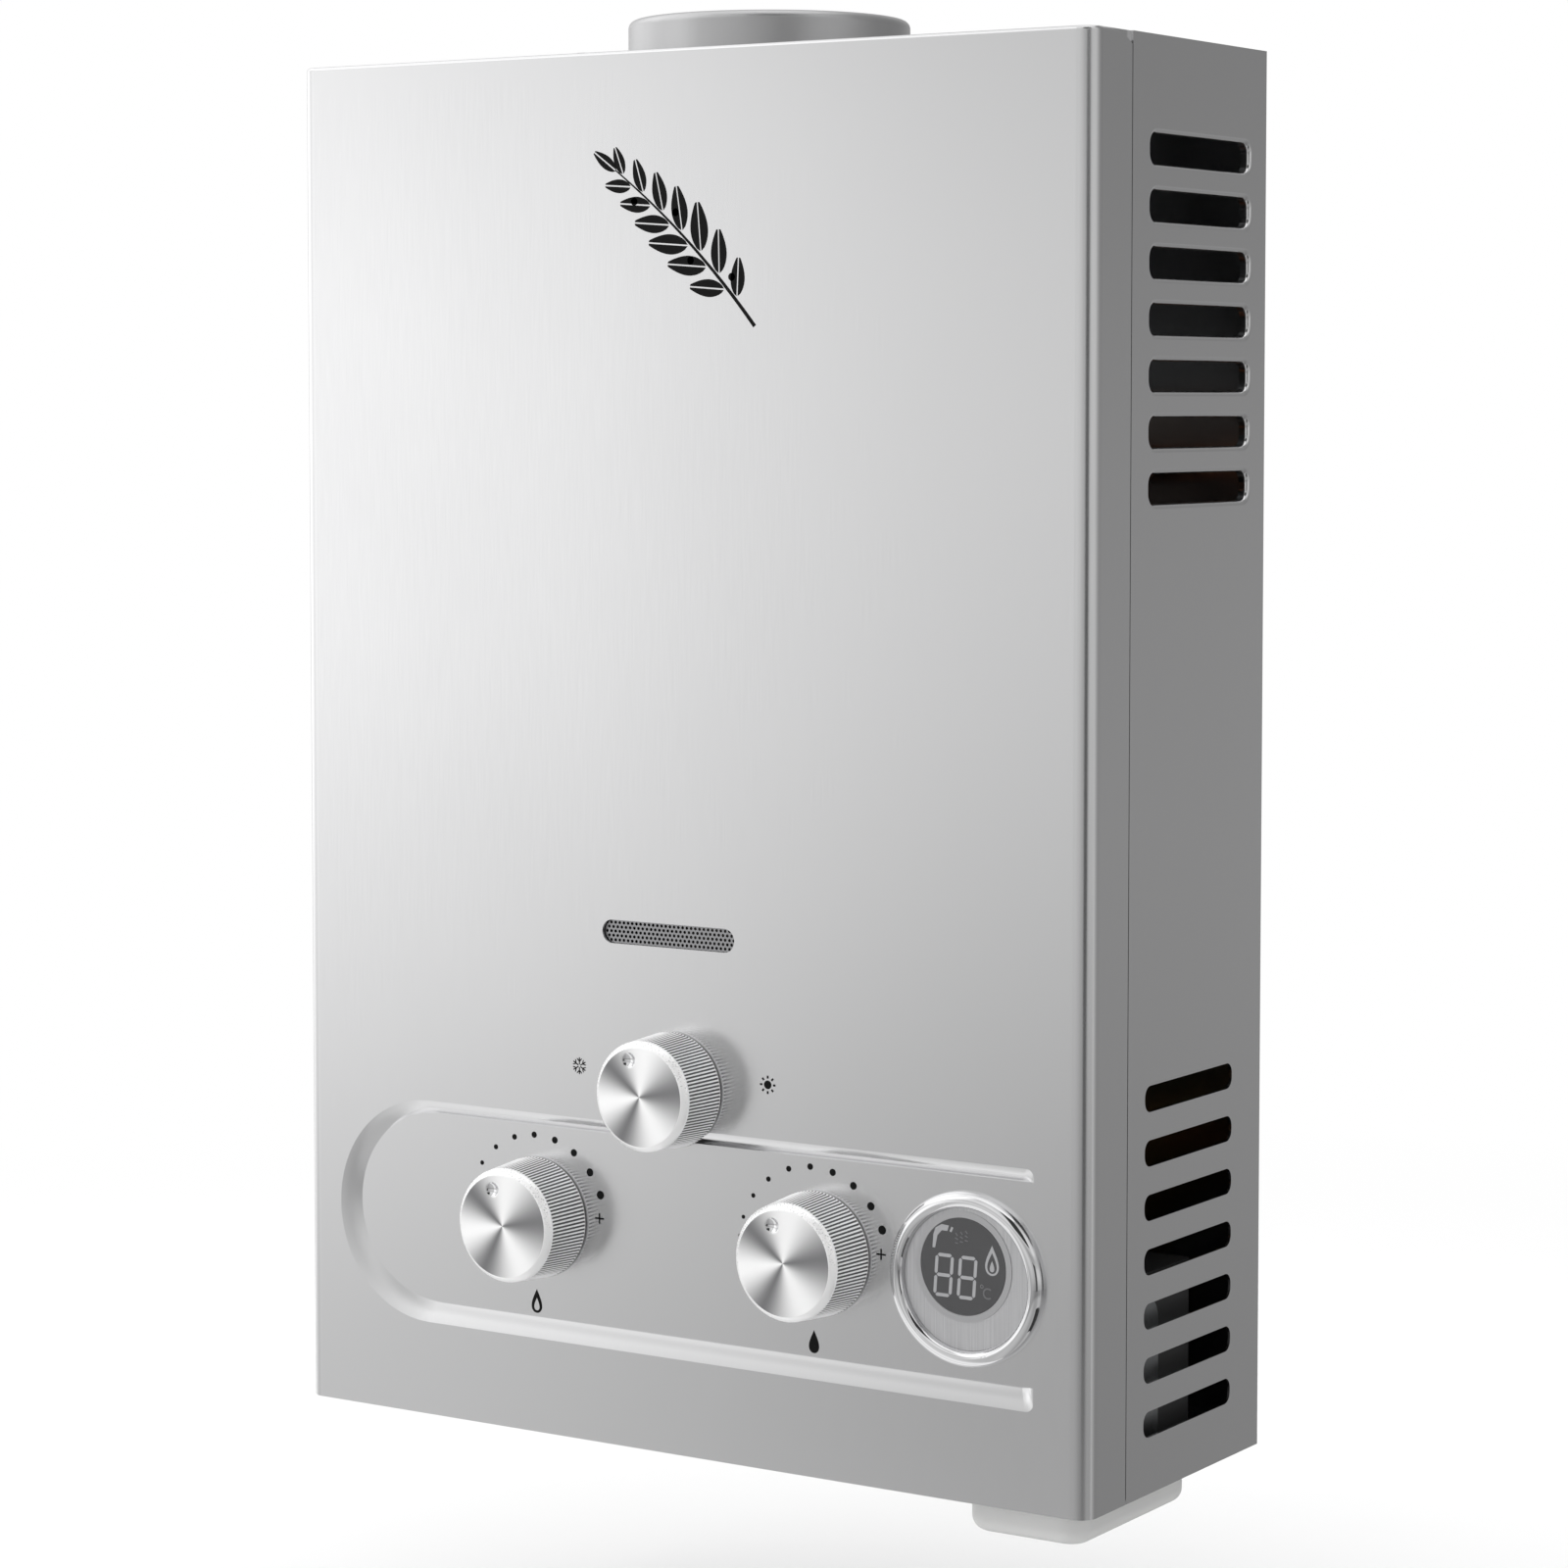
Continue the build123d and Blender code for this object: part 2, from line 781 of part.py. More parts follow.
def water_valve_stem():
    start = valve_front + free
    return valve_stem(water_x, main_z, plug_radius, start, valve_front + needle_inset - free)


def season_valve_stem():
    return valve_stem(0, season_z, rotor_radius, manifold_front + free, manifold_front + rotor_length)


def stem_nuts():
    """Nuts that keep the three stems in their valves."""
    places = [(gas_x, main_z, valve_front), (water_x, main_z, valve_front), (0, season_z, manifold_front)]
    outline = RegularPolygon(stem_nut_across / 2, 6, major_radius=False) - Circle(stem_radius + running)
    nuts = []
    for x, z, y in places:
        nuts.append(upright(Pos(x, z) * outline, (y - stem_nut_height, y)))
    return group(nuts)


def display_bezel():
    """A half-round rim whose spigot passes through the cover and holds the display."""
    bore = bezel_bore / 2
    outer = bore + bezel_width
    inner_round = bezel_width - bezel_outer_round
    crest = bore + inner_round
    shoulder = bezel_rise - bezel_outer_round
    lip = bezel_rise - inner_round
    edges = [
        Line((bore, -spigot_length), (bore + spigot_wall, -spigot_length)),
        Line((bore + spigot_wall, -spigot_length), (bore + spigot_wall, 0)),
        Line((bore + spigot_wall, 0), (outer, 0)),
        Line((outer, 0), (outer, shoulder)),
        quarter((crest, shoulder), (outer, shoulder), (crest, bezel_rise)),
        quarter((crest, lip), (crest, bezel_rise), (bore, lip)),
        Line((bore, lip), (bore, -spigot_length)),
    ]
    rim = revolve(Plane.XZ * make_face(edges), axis=Axis.Z)
    return Pos(display_offset, front, display_z) * Rot(90, 0, 0) * rim


def display_face():
    face = front - bezel_rise + face_sink
    at = (display_offset, display_z)
    shape = rod("Y", at, (face, face + face_thickness), bezel_bore / 2 - running)
    return shape - rod("Y", (lens_x, lens_z), (face, face + face_thickness), lens_diameter / 2 + running)


def display_lens():
    face = front - bezel_rise + face_sink - lens_proud
    shape = rod("Y", (lens_x, lens_z), (face, face + lens_thickness), lens_diameter / 2)
    return fillet(shape.edges().group_by(Axis.Y)[0], lens_proud / 2)


def board_front():
    return front - bezel_rise + face_sink - lens_proud + lens_thickness + digits_depth


def display_board():
    y = board_front()
    shape = rod("Y", (display_offset, display_z), (y, y + board_thickness), bezel_bore / 2 - running)
    wide = (lens_x - digits_width / 2, lens_x + digits_width / 2)
    tall = (lens_z - digits_height / 2, lens_z + digits_height / 2)
    return shape + block(wide, (y - digits_depth, y), tall)


def display_back():
    start = board_front() + board_thickness
    end = front + spigot_length
    at = (display_offset, display_z)
    shape = rod("Y", at, (start, end), bezel_bore / 2 - running)
    return shape + rod("Y", at, (end, end + back_thickness), bezel_bore / 2 + spigot_wall)


def battery_box():
    half = bay_width / 2
    x = (lid_x - half, lid_x + half)
    y = (bay_y - bay_length / 2, bay_y + bay_length / 2)
    shell_x = (x[0] - box_wall, x[1] + box_wall)
    shell_y = (y[0] - box_wall, y[1] + box_wall)
    shape = block(shell_x, shell_y, (panel_top, bay_roof + box_wall))
    shape = fillet(shape.edges().filter_by(Axis.Z), box_wall)
    shape -= block(x, y, (panel_top, bay_roof))
    for way in lug_ways():
        shape += block(way, (pin_y - lug_radius, y[1] + box_wall / 2), (panel_top, panel_top + panel_flange))
        shape += block(way, (pin_y - lug_radius, min(pin_y + lug_radius, y[1] - slip)), (pin_z, panel_top))
        shape += rod("X", (pin_y, pin_z), way, lug_radius)
    return shape - rod("X", (pin_y, pin_z), (lid_x - half, lid_x + half), pin_radius + running)


def cell_places():
    return [(lid_x, bay_y + y) for y in spread(2, cell_diameter + 2 * running)]


def battery_cells():
    cells = []
    for place in cell_places():
        can = rod("Z", place, (cell_low, cell_high - contact_thickness), cell_diameter / 2)
        can = fillet(can.edges().group_by(Axis.Z)[-1], contact_thickness)
        cells.append(can + rod("Z", place, (cell_high - contact_thickness, cell_high), cell_nub_radius))
    return group(cells)


def battery_contacts():
    z = (bay_roof - contact_thickness, bay_roof)
    return group(rod("Z", place, z, contact_radius) for place in cell_places())


def battery_lid():
    outline = RectangleRounded(lid_width, lid_length, lid_corner)
    floor = bottom - lid_drop
    cup = Pos(lid_x, bay_y, floor) * extrude(outline, amount=lid_top - floor)
    cup = fillet(cup.edges().group_by(Axis.Z)[0], lid_bottom_radius)
    inner = RectangleRounded(lid_width - 2 * lid_wall, lid_length - 2 * lid_wall, lid_corner - lid_wall)
    hollow = Pos(lid_x, bay_y, floor + lid_wall) * extrude(inner, amount=lid_top - floor - lid_wall)
    shape = cup - fillet(hollow.edges().group_by(Axis.Z)[0], lid_bottom_radius - lid_wall)
    half = lid_width / 2 - lid_wall / 2
    rib_z = (floor + lid_wall / 2, lid_top)
    for _, y in cell_places():
        shape += block((lid_x - half, lid_x + half), (y - lid_rib / 2, y + lid_rib / 2), rib_z) & cup
    relief = lug_radius + free
    for low, high in lug_ways():
        way = (low - free, high + free)
        shape -= block(way, (pin_y - relief, lid_back), (pin_z - relief, lid_top))
    return shape - lid_pin()


def lid_pin():
    reach = lug_offset + lug_thickness / 2 + lid_wall
    return rod("X", (pin_y, pin_z), (lid_x - reach, lid_x + reach), pin_radius)


def battery_lid_pin():
    return lid_pin()


def battery_bracket():
    x = lid_x + bay_width / 2 + box_wall
    start = front + bracket_start
    outline = RectangleRounded(bracket_width, 2 * (bracket_level - 2 * sheet), bracket_corner)
    plate = extrude(Plane.YZ * outline, amount=sheet)
    plate = Pos(x, start + bracket_width / 2, panel_top) * plate
    shape = plate & block((x, x + sheet), (start, start + bracket_width), (panel_top, bottom + bracket_level))
    foot = (x + sheet, x + sheet + bracket_foot)
    return shape + block(foot, (start, start + bracket_width), (panel_top, panel_top + sheet))


def coil_rows():
    return [chamber_middle + y for y in spread(coil_passes, coil_pitch)]


def chamber_walls(low, high):
    half = chamber_width / 2
    shape = block((-half, half), (chamber_front, chamber_back), (low, high))
    hollow = half - sheet
    return shape - block((-hollow, hollow), (chamber_front + sheet, chamber_back - sheet), (low, high))


def chamber_shell():
    shape = chamber_walls(chamber_bottom, chamber_top)
    half = chamber_width / 2
    for y in coil_rows():
        shape -= rod("X", (y, coil_z), (-half, half), tube_radius + running)
    return shape


def exchanger_fins():
    depth = chamber_depth - 2 * sheet - 2 * free
    outline = Plane.YZ * (Pos(chamber_middle, coil_z) * Rectangle(depth, fin_height))
    for y in coil_rows():
        outline -= Plane.YZ * (Pos(y, coil_z) * Circle(tube_radius + running))
    fin = extrude(outline, amount=fin_thickness)
    pitch = (chamber_width - 2 * sheet) / (fin_count + 1)
    return group(Pos(x - fin_thickness / 2, 0, 0) * fin for x in spread(fin_count, pitch))


def exchanger_coil():
    turn_x = coil_end_x + coil_pitch / 2
    points = [(coil_end_x, coil_front, coil_z)]
    side = -1
    rows = coil_rows()
    for y, following in zip(rows, rows[1:]):
        points += [(side * turn_x, y, coil_z), (side * turn_x, following, coil_z)]
        side = -side
    points.append((side * coil_end_x, coil_back, coil_z))
    return pipe(points, coil_pitch / 2 - running, tube_radius, tube_wall)


def inlet_pipe():
    start = water_right - water_port_depth
    points = [
        (start, water_port_y, water_port_z),
        (riser_offset, water_port_y, water_port_z),
        (riser_offset, coil_front, coil_z),
        (coil_end_x, coil_front, coil_z),
    ]
    return pipe(points, tube_bend, tube_radius, tube_wall)


def outlet_pipe():
    fitting_top = bottom + hot_outlet_level + fitting_hex_height
    points = [
        (-coil_end_x, coil_back, coil_z),
        (-riser_offset, coil_back, coil_z),
        (-riser_offset, coil_back, main_z),
        (hot_outlet_offset, fitting_y, fitting_top + fitting_hex_height),
        (hot_outlet_offset, fitting_y, fitting_top),
    ]
    return pipe(points, tube_bend, tube_radius, tube_wall)


def chamber_brackets():
    half = chamber_bracket_width / 2
    middle = (chamber_bottom + chamber_top) / 2
    z = (middle - chamber_bracket_height / 2, middle + chamber_bracket_height / 2)
    places = (-chamber_bracket_spread, chamber_bracket_spread)
    return group(hat((x - half, x + half), (chamber_back, -sheet), z, bracket_flange) for x in places)


def burner_places():
    return spread(burner_count, burner_pitch)


def electrode_places():
    z = chamber_bottom - electrode_drop
    return [(x, z) for x in (-electrode_spread / 2, electrode_spread / 2)]


def burner_frame():
    shape = chamber_walls(chamber_bottom - frame_height, chamber_bottom)
    wall = (chamber_front, chamber_front + sheet)
    for x in burner_places():
        shape -= rod("Y", (x, nozzle_z), wall, nozzle_hole_radius)
    for place in electrode_places():
        shape -= rod("Y", place, wall, insulator_radius)
    return shape


def burner_bars():
    y = (chamber_front + sheet + running, chamber_back - sheet - running)
    high = chamber_bottom - burner_drop
    bars = []
    for x in burner_places():
        bar = block((x - burner_width / 2, x + burner_width / 2), y, (high - burner_height, high))
        slot = (x - burner_slot_width / 2, x + burner_slot_width / 2)
        bar -= block(slot, (y[0] + burner_width, y[1] - burner_width), (high - burner_slot_depth, high))
        bars.append(bar - rod("Y", (x, nozzle_z), (y[0], y[0] + burner_mouth_depth), burner_mouth_radius))
    return group(bars)


def gas_manifold():
    half = manifold_width / 2
    deep = (manifold_front, chamber_front)
    shape = block((-half, half), deep, (nozzle_z - manifold_margin, nozzle_z + manifold_margin))
    wide = gas_leg_radius - gas_x
    shape += block((-wide, wide), deep, (manifold_low, nozzle_z - manifold_margin))
    shape += rod("Z", (gas_x, leg_y), (valve_high, manifold_low), gas_leg_radius)
    shape -= rod("Z", (gas_x, leg_y), (valve_high, nozzle_z), gas_leg_bore)
    rotor = (manifold_front, manifold_front + rotor_length + free)
    return shape - rod("Y", (0, season_z), rotor, rotor_radius + running)


def gas_nozzles():
    y = (chamber_front, chamber_front + nozzle_length)
    return group(ring("Y", (x, nozzle_z), y, nozzle_radius, nozzle_bore) for x in burner_places())


def insulator_span():
    start = chamber_front - insulator_front
    return (start, start + insulator_length)


def electrode_insulators():
    span = insulator_span()
    return group(ring("Y", place, span, insulator_radius, electrode_radius) for place in electrode_places())


def electrodes():
    start, end = insulator_span()
    span = (start - insulator_front / 2, end + electrode_reach)
    return group(rod("Y", place, span, electrode_radius) for place in electrode_places())


def valve_block(x):
    wide = (x - valve_width / 2, x + valve_width / 2)
    shape = block(wide, (valve_front, valve_back), (valve_low, valve_high))
    return fillet(shape.edges().filter_by(Axis.Y), valve_corner)


def gas_valve_body():
    shape = valve_block(gas_x)
    seat = gas_right - gas_seat_depth
    guide = gas_right - gas_seat_depth / 2
    shape -= rod("X", (rod_y, main_z), (gas_left, seat), gas_bore_radius)
    shape -= rod("X", (rod_y, main_z), (seat, guide), gas_seat_radius)
    shape -= rod("X", (rod_y, main_z), (guide, gas_right), rod_radius + running)
    shape -= rod("Y", (gas_x, main_z), (valve_front, valve_front + plug_length + free), plug_radius + running)
    shape -= rod("Z", (gas_x, leg_y), (main_z, valve_high), gas_leg_bore)
    return shape - rod("Z", (gas_x, fitting_y), (valve_low, main_z - gas_bore_radius / 2), fitting_bore)


def gas_valve_disc():
    seat = gas_right - gas_seat_depth - free
    return rod("X", (rod_y, main_z), (seat - gas_disc_thickness, seat), gas_disc_radius)


def gas_valve_spring():
    end = gas_right - gas_seat_depth - free - gas_disc_thickness - rod_travel - free
    return ring("X", (rod_y, main_z), (gas_left, end), spring_radius, spring_radius - spring_wall)


def solenoid_coil():
    span = (gas_left - coil_length, gas_left)
    shape = rod("X", (rod_y, main_z), span, coil_radius)
    bore = (span[0] + coil_end, span[1])
    return shape - rod("X", (rod_y, main_z), bore, plunger_radius + running)


def solenoid_plunger():
    start = gas_left - coil_length + coil_end + plunger_travel + free
    return rod("X", (rod_y, main_z), (start, gas_left + plunger_reach), plunger_radius)


def water_valve_body():
    shape = valve_block(water_x)
    shape += rod("X", (rod_y, main_z), (membrane_x, water_left), diaphragm_radius)
    cavity = (membrane_x, membrane_x + diaphragm_cavity_depth)
    shape -= rod("X", (rod_y, main_z), cavity, diaphragm_cavity_radius)
    shape -= rod("Y", (water_x, main_z), (valve_front, valve_front + needle_inset), plug_radius + running)
    needle_end = valve_front + needle_inset + needle_length + 2 * needle_travel
    shape -= rod("Y", (water_x, main_z), (valve_front + needle_inset, needle_end), needle_radius + running)
    port = (water_right - water_port_depth, water_right)
    shape -= rod("X", (water_port_y, water_port_z), port, tube_radius + running)
    drain = (drain_offset, -drain_setback)
    drain_low = bottom + drain_boss_level
    shape += rod("Z", drain, (drain_low, valve_low), drain_boss_radius)
    shape -= rod("Z", drain, (drain_low, drain_low + drain_depth), drain_radius + running)
    return shape - rod("Z", (water_x, fitting_y), (valve_low, valve_low + water_way_rise), fitting_bore)


def flow_needle():
    start = valve_front + needle_inset + needle_travel
    shape = rod("Y", (water_x, main_z), (start, start + needle_length), needle_radius)
    return chamfer(shape.edges().group_by(Axis.Y)[-1], needle_radius / 2)


def diaphragm():
    span = (membrane_x - diaphragm_thickness, membrane_x)
    return ring("X", (rod_y, main_z), span, diaphragm_radius, diaphragm_plate_radius + free)


def diaphragm_cover():
    end = membrane_x - diaphragm_thickness
    start = end - diaphragm_housing
    shape = rod("X", (rod_y, main_z), (start, end), diaphragm_radius)
    shape = fillet(shape.edges().group_by(Axis.X)[0], diaphragm_thickness)
    shape -= rod("X", (rod_y, main_z), (end - diaphragm_cavity_depth, end), diaphragm_cavity_radius)
    return shape - rod("X", (rod_y, main_z), (start, end), rod_radius + running)


def push_rod():
    plate = (membrane_x - diaphragm_thickness, membrane_x - diaphragm_thickness + diaphragm_plate_thickness)
    disc_face = gas_right - gas_seat_depth - free
    shape = rod("X", (rod_y, main_z), (disc_face, plate[0]), rod_radius)
    shape += rod("X", (rod_y, main_z), plate, diaphragm_plate_radius)
    return shape + rod("X", (rod_y, main_z), (collar_offset, collar_offset + collar_length), collar_radius)


def lever_pivot():
    x = collar_offset - lever_gap - lever_thickness / 2
    return x, main_z + collar_radius - lever_overlap + lever_length


def microswitch():
    end = membrane_x - diaphragm_thickness - diaphragm_housing
    x, pivot = lever_pivot()
    low = pivot + lever_pin_radius + free
    y = (rod_y - switch_depth / 2, rod_y + switch_depth / 2)
    shape = block((end - switch_length, end), y, (low, low + switch_height))
    ear = (x - 2 * lever_pin_radius, x + 2 * lever_pin_radius)
    for side in ((y[0], y[0] + switch_ear), (y[1] - switch_ear, y[1])):
        shape += block(ear, side, (pivot - 2 * lever_pin_radius, low))
    return shape - rod("Y", (x, pivot), y, lever_pin_radius + running)


def microswitch_lever():
    x, pivot = lever_pivot()
    half = switch_depth / 2
    shape = rod("Y", (x, pivot), (rod_y - half, rod_y + half), lever_pin_radius)
    inner = half - switch_ear - free
    arm = (x - lever_thickness / 2, x + lever_thickness / 2)
    return shape + block(arm, (rod_y - inner, rod_y + inner), (pivot - lever_length, pivot))


def fitting(x, high):
    """A threaded nipple, relieved below the panel, with a hexagon at its top and a bore through it."""
    at = (x, fitting_y)
    shape = hexagon(at, (high - fitting_hex_height, high), fitting_hex)
    nipple = rod("Z", at, (fitting_low, high - fitting_hex_height), pipe_thread_radius)
    shape += chamfer(nipple.edges().group_by(Axis.Z)[0], sheet)
    relief = (bottom - fitting_relief_length, bottom)
    shape -= ring("Z", at, relief, fitting_hex / 2, pipe_thread_radius - fitting_relief_depth)
    return shape - rod("Z", at, (fitting_low, high), fitting_bore)


def cold_inlet_fitting():
    return fitting(water_x, valve_low)


def gas_inlet_fitting():
    return fitting(gas_x, valve_low)


def hot_outlet_fitting():
    return fitting(hot_outlet_offset, bottom + hot_outlet_level + fitting_hex_height)


def fitting_nuts():
    """Lock nuts that hold the fittings in the bottom panel."""
    nuts = []
    for x in (hot_outlet_offset, gas_x, water_x):
        nut = hexagon((x, fitting_y), (panel_top, panel_top + nut_height), nut_hex)
        nuts.append(nut - rod("Z", (x, fitting_y), (panel_top, panel_top + nut_height), pipe_thread_radius))
    return group(nuts)


def drain_plug():
    at = (drain_offset, -drain_setback)
    shape = rod("Z", at, (bottom - free, bottom + drain_boss_level + drain_depth - free), drain_radius)
    head = rod("Z", at, (bottom - free - drain_head_height, bottom - free), drain_head_radius)
    for place in PolarLocations(drain_head_radius, drain_lobes):
        notch = (at[0] + place.position.X, at[1] + place.position.Y)
        head -= rod("Z", notch, (bottom - free - drain_head_height, bottom - free), drain_lobe_radius)
    return shape + head


def valve_bracket():
    z = (valve_low + valve_bracket_inset, valve_high - valve_bracket_inset)
    return hat((gas_left, water_right), (valve_back, -sheet), z, bracket_flange)


def igniter_box():
    y = front + igniter_start
    z = bottom + igniter_level
    shape = block((-inside, igniter_width - inside), (y, y + igniter_depth), (z, z + igniter_height))
    return fillet(shape.edges().group_by(Axis.X)[-1], igniter_corner)


def overheat_thermostat():
    at = (thermostat_offset, chamber_bottom + thermostat_rise)
    shape = rod("Y", at, (chamber_front - thermostat_height, chamber_front), thermostat_radius)
    return fillet(shape.edges().group_by(Axis.Y)[0], sheet)


def temperature_probe():
    z = bottom + probe_level
    half = tube_radius + probe_wall
    x = (-riser_offset - half, half - riser_offset)
    shape = block(x, (coil_back - half, coil_back + half), (z, z + probe_height))
    shape -= rod("Z", (-riser_offset, coil_back), (z, z + probe_height), tube_radius + running)
    at = (-riser_offset, z + probe_height / 2)
    return shape + rod("Y", at, (coil_back - half - probe_stem, coil_back - half), probe_stem_radius)


pieces = [
    rear_casing, front_cover, top_panel, bottom_panel, flue_collar, flue_hood, flame_window_mesh, case_screws,
    gas_knob, gas_valve_stem, water_knob, water_valve_stem, season_knob, season_valve_stem, stem_nuts,
    display_bezel, display_face, display_lens, display_board, display_back,
    battery_box, battery_lid, battery_lid_pin, battery_cells, battery_contacts, battery_bracket,
    chamber_shell, chamber_brackets, exchanger_fins, exchanger_coil, inlet_pipe, outlet_pipe,
    burner_frame, burner_bars, gas_manifold, gas_nozzles, electrodes, electrode_insulators,
    gas_valve_body, gas_valve_disc, gas_valve_spring, solenoid_coil, solenoid_plunger,
    water_valve_body, flow_needle, diaphragm, diaphragm_cover, push_rod, microswitch, microswitch_lever,
    cold_inlet_fitting, hot_outlet_fitting, gas_inlet_fitting, fitting_nuts, drain_plug, valve_bracket,
    igniter_box, overheat_thermostat, temperature_probe,
]

os.makedirs("parts", exist_ok=True)
for piece in pieces:
    export_step(piece(), f"parts/{piece.__name__}.step")
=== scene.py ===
import json
import math

import bpy
from mathutils import Matrix, Vector
from mathutils.geometry import tessellate_polygon


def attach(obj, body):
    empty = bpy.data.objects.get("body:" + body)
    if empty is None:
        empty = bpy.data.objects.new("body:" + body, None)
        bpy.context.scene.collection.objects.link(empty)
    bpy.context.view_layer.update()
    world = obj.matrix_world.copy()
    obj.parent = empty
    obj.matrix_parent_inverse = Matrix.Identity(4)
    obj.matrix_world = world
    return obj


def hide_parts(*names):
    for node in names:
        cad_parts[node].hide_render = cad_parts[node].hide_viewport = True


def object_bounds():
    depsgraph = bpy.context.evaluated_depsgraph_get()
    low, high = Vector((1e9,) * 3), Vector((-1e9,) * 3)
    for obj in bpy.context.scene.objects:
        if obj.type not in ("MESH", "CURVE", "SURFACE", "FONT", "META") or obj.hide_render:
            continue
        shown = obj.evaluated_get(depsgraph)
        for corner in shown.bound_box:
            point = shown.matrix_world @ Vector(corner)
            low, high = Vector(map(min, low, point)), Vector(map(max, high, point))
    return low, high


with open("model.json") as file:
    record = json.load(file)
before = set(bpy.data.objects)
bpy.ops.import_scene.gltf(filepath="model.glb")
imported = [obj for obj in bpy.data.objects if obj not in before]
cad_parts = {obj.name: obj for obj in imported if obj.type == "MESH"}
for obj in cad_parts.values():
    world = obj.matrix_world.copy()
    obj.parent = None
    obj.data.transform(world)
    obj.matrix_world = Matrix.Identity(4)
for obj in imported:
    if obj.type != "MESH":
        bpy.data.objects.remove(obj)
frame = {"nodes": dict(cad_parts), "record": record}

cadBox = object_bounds()
nodes = frame["nodes"]
mm = 0.001
fullTurn = 2 * math.pi


class Sock:  # one shader socket, so that sums on it read as plain Python
    middle = 0.5  # a noise swings about this

    def __init__(self, tree, socket):
        self.tree = tree
        self.socket = socket

    def maths(self, operation, *values):
        node = self.tree.nodes.new("ShaderNodeMath")
        node.operation = operation
        for place, value in zip(node.inputs, values):
            feed(self.tree, place, value)
        return Sock(self.tree, node.outputs[0])

    def __add__(self, other):
        return self.maths("ADD", self, other)

    def __radd__(self, other):
        return self.maths("ADD", other, self)

    def __sub__(self, other):
        return self.maths("SUBTRACT", self, other)

    def __rsub__(self, other):
        return self.maths("SUBTRACT", other, self)

    def __mul__(self, other):
        return self.maths("MULTIPLY", self, other)

    def __rmul__(self, other):
        return self.maths("MULTIPLY", other, self)

    def __truediv__(self, other):
        return self.maths("DIVIDE", self, other)

    def __rtruediv__(self, other):
        return self.maths("DIVIDE", other, self)

    def __pow__(self, other):
        return self.maths("POWER", self, other)

    def __rpow__(self, other):
        return self.maths("POWER", other, self)

    def atLeast(self, low):
        return self.maths("MAXIMUM", self, low)

    def atMost(self, high):
        return self.maths("MINIMUM", self, high)

    def above(self, level):
        return self.maths("GREATER_THAN", self, level)

    def cosine(self):
        return self.maths("COSINE", self)

    def angleOver(self, other):  # the angle whose tangent is this over the other
        return self.maths("ARCTAN2", self, other)

    def sway(self, reach):  # a noise turned into a swing about nought
        return (self - self.middle) * reach

    def wave(self):  # a cosine brought between 0 and 1
        return self.cosine() * self.middle + self.middle


def feed(tree, place, value):
    if isinstance(value, Sock):
        tree.links.new(value.socket, place)
    elif place.type == "RGBA" and len(value) == 3:
        place.default_value = (*value, 1.0)
    else:
        place.default_value = value


class Finish:  # one material, or the world, and the nodes it is made of
    seenRays = ("Is Camera Ray", "Is Glossy Ray", "Is Transmission Ray")
    mixFactor, mixFirst, mixSecond, mixResult = 0, 6, 7, 2  # the colour sockets of a Mix node

    def __init__(self, name, owner=None):
        self.owner = owner or bpy.data.materials.new(name)
        self.owner.use_nodes = True
        self.tree = self.owner.node_tree
        self.tree.nodes.clear()

    def node(self, kind, settings=None, sockets=None, out=0):
        made = self.tree.nodes.new("ShaderNode" + kind)
        for key, value in (settings or {}).items():
            if key == "stops":
                setStops(made.color_ramp, value)
            else:
                setattr(made, key, value)
        for key, value in (sockets or {}).items():
            feed(self.tree, made.inputs[key], value)
        return Sock(self.tree, made.outputs[out]) if made.outputs else None

    def spot(self, stretch=(1, 1, 1)):  # object coordinates in metres, stretched
        place = self.node("TexCoord", out="Object")
        return self.node("Mapping", None, {"Vector": place, "Scale": stretch})

    def parts(self):  # x, y and z of the object coordinates
        place = self.node("TexCoord", out="Object")
        return [self.node("SeparateXYZ", None, {"Vector": place}, out=axis) for axis in "XYZ"]

    def flatReach(self):  # distance from the object's own upright axis
        flat = self.spot((1, 1, 0))
        return self.node("VectorMath", {"operation": "LENGTH"}, {0: flat}, out="Value")

    def noise(self, spot, scale=1.0, detail=2.0, rough=0.5):
        sockets = {"Vector": spot, "Scale": scale, "Detail": detail, "Roughness": rough}
        return self.node("TexNoise", None, sockets)

    def mix(self, factor, first, second):
        sockets = {self.mixFactor: factor, self.mixFirst: first, self.mixSecond: second}
        return self.node("Mix", {"data_type": "RGBA"}, sockets, out=self.mixResult)

    def ramp(self, value, steps):  # a value read off a run of (place, level) steps
        first, last = steps[0][0], steps[-1][0]
        peak = max(level for _, level in steps)
        stops = [((place - first) / (last - first), (level / peak,) * 3) for place, level in steps]
        share = (value - first) / (last - first)
        grey = self.node("ValToRGB", {"stops": stops}, {"Fac": share})
        return self.node("RGBToBW", None, {"Color": grey}) * peak

    def bump(self, height, strength, depth):
        return self.node("Bump", None, {"Height": height, "Strength": strength, "Distance": depth})

    def seen(self):  # 1 for the rays that look straight at a thing, 0 for those that only light it
        camera, glossy, through = [self.node("LightPath", out=ray) for ray in self.seenRays]
        return (camera + glossy + through).atMost(1.0)

    def close(self, sockets):
        shader = self.node("BsdfPrincipled", None, sockets)
        self.node("OutputMaterial", None, {"Surface": shader})
        return self.owner


def setStops(ramp, stops):
    while len(ramp.elements) > 1:
        ramp.elements.remove(ramp.elements[-1])
    ramp.elements[0].position = stops[0][0]
    ramp.elements[0].color = (*stops[0][1], 1)
    for place, colour in stops[1:]:
        ramp.elements.new(place).color = (*colour, 1)


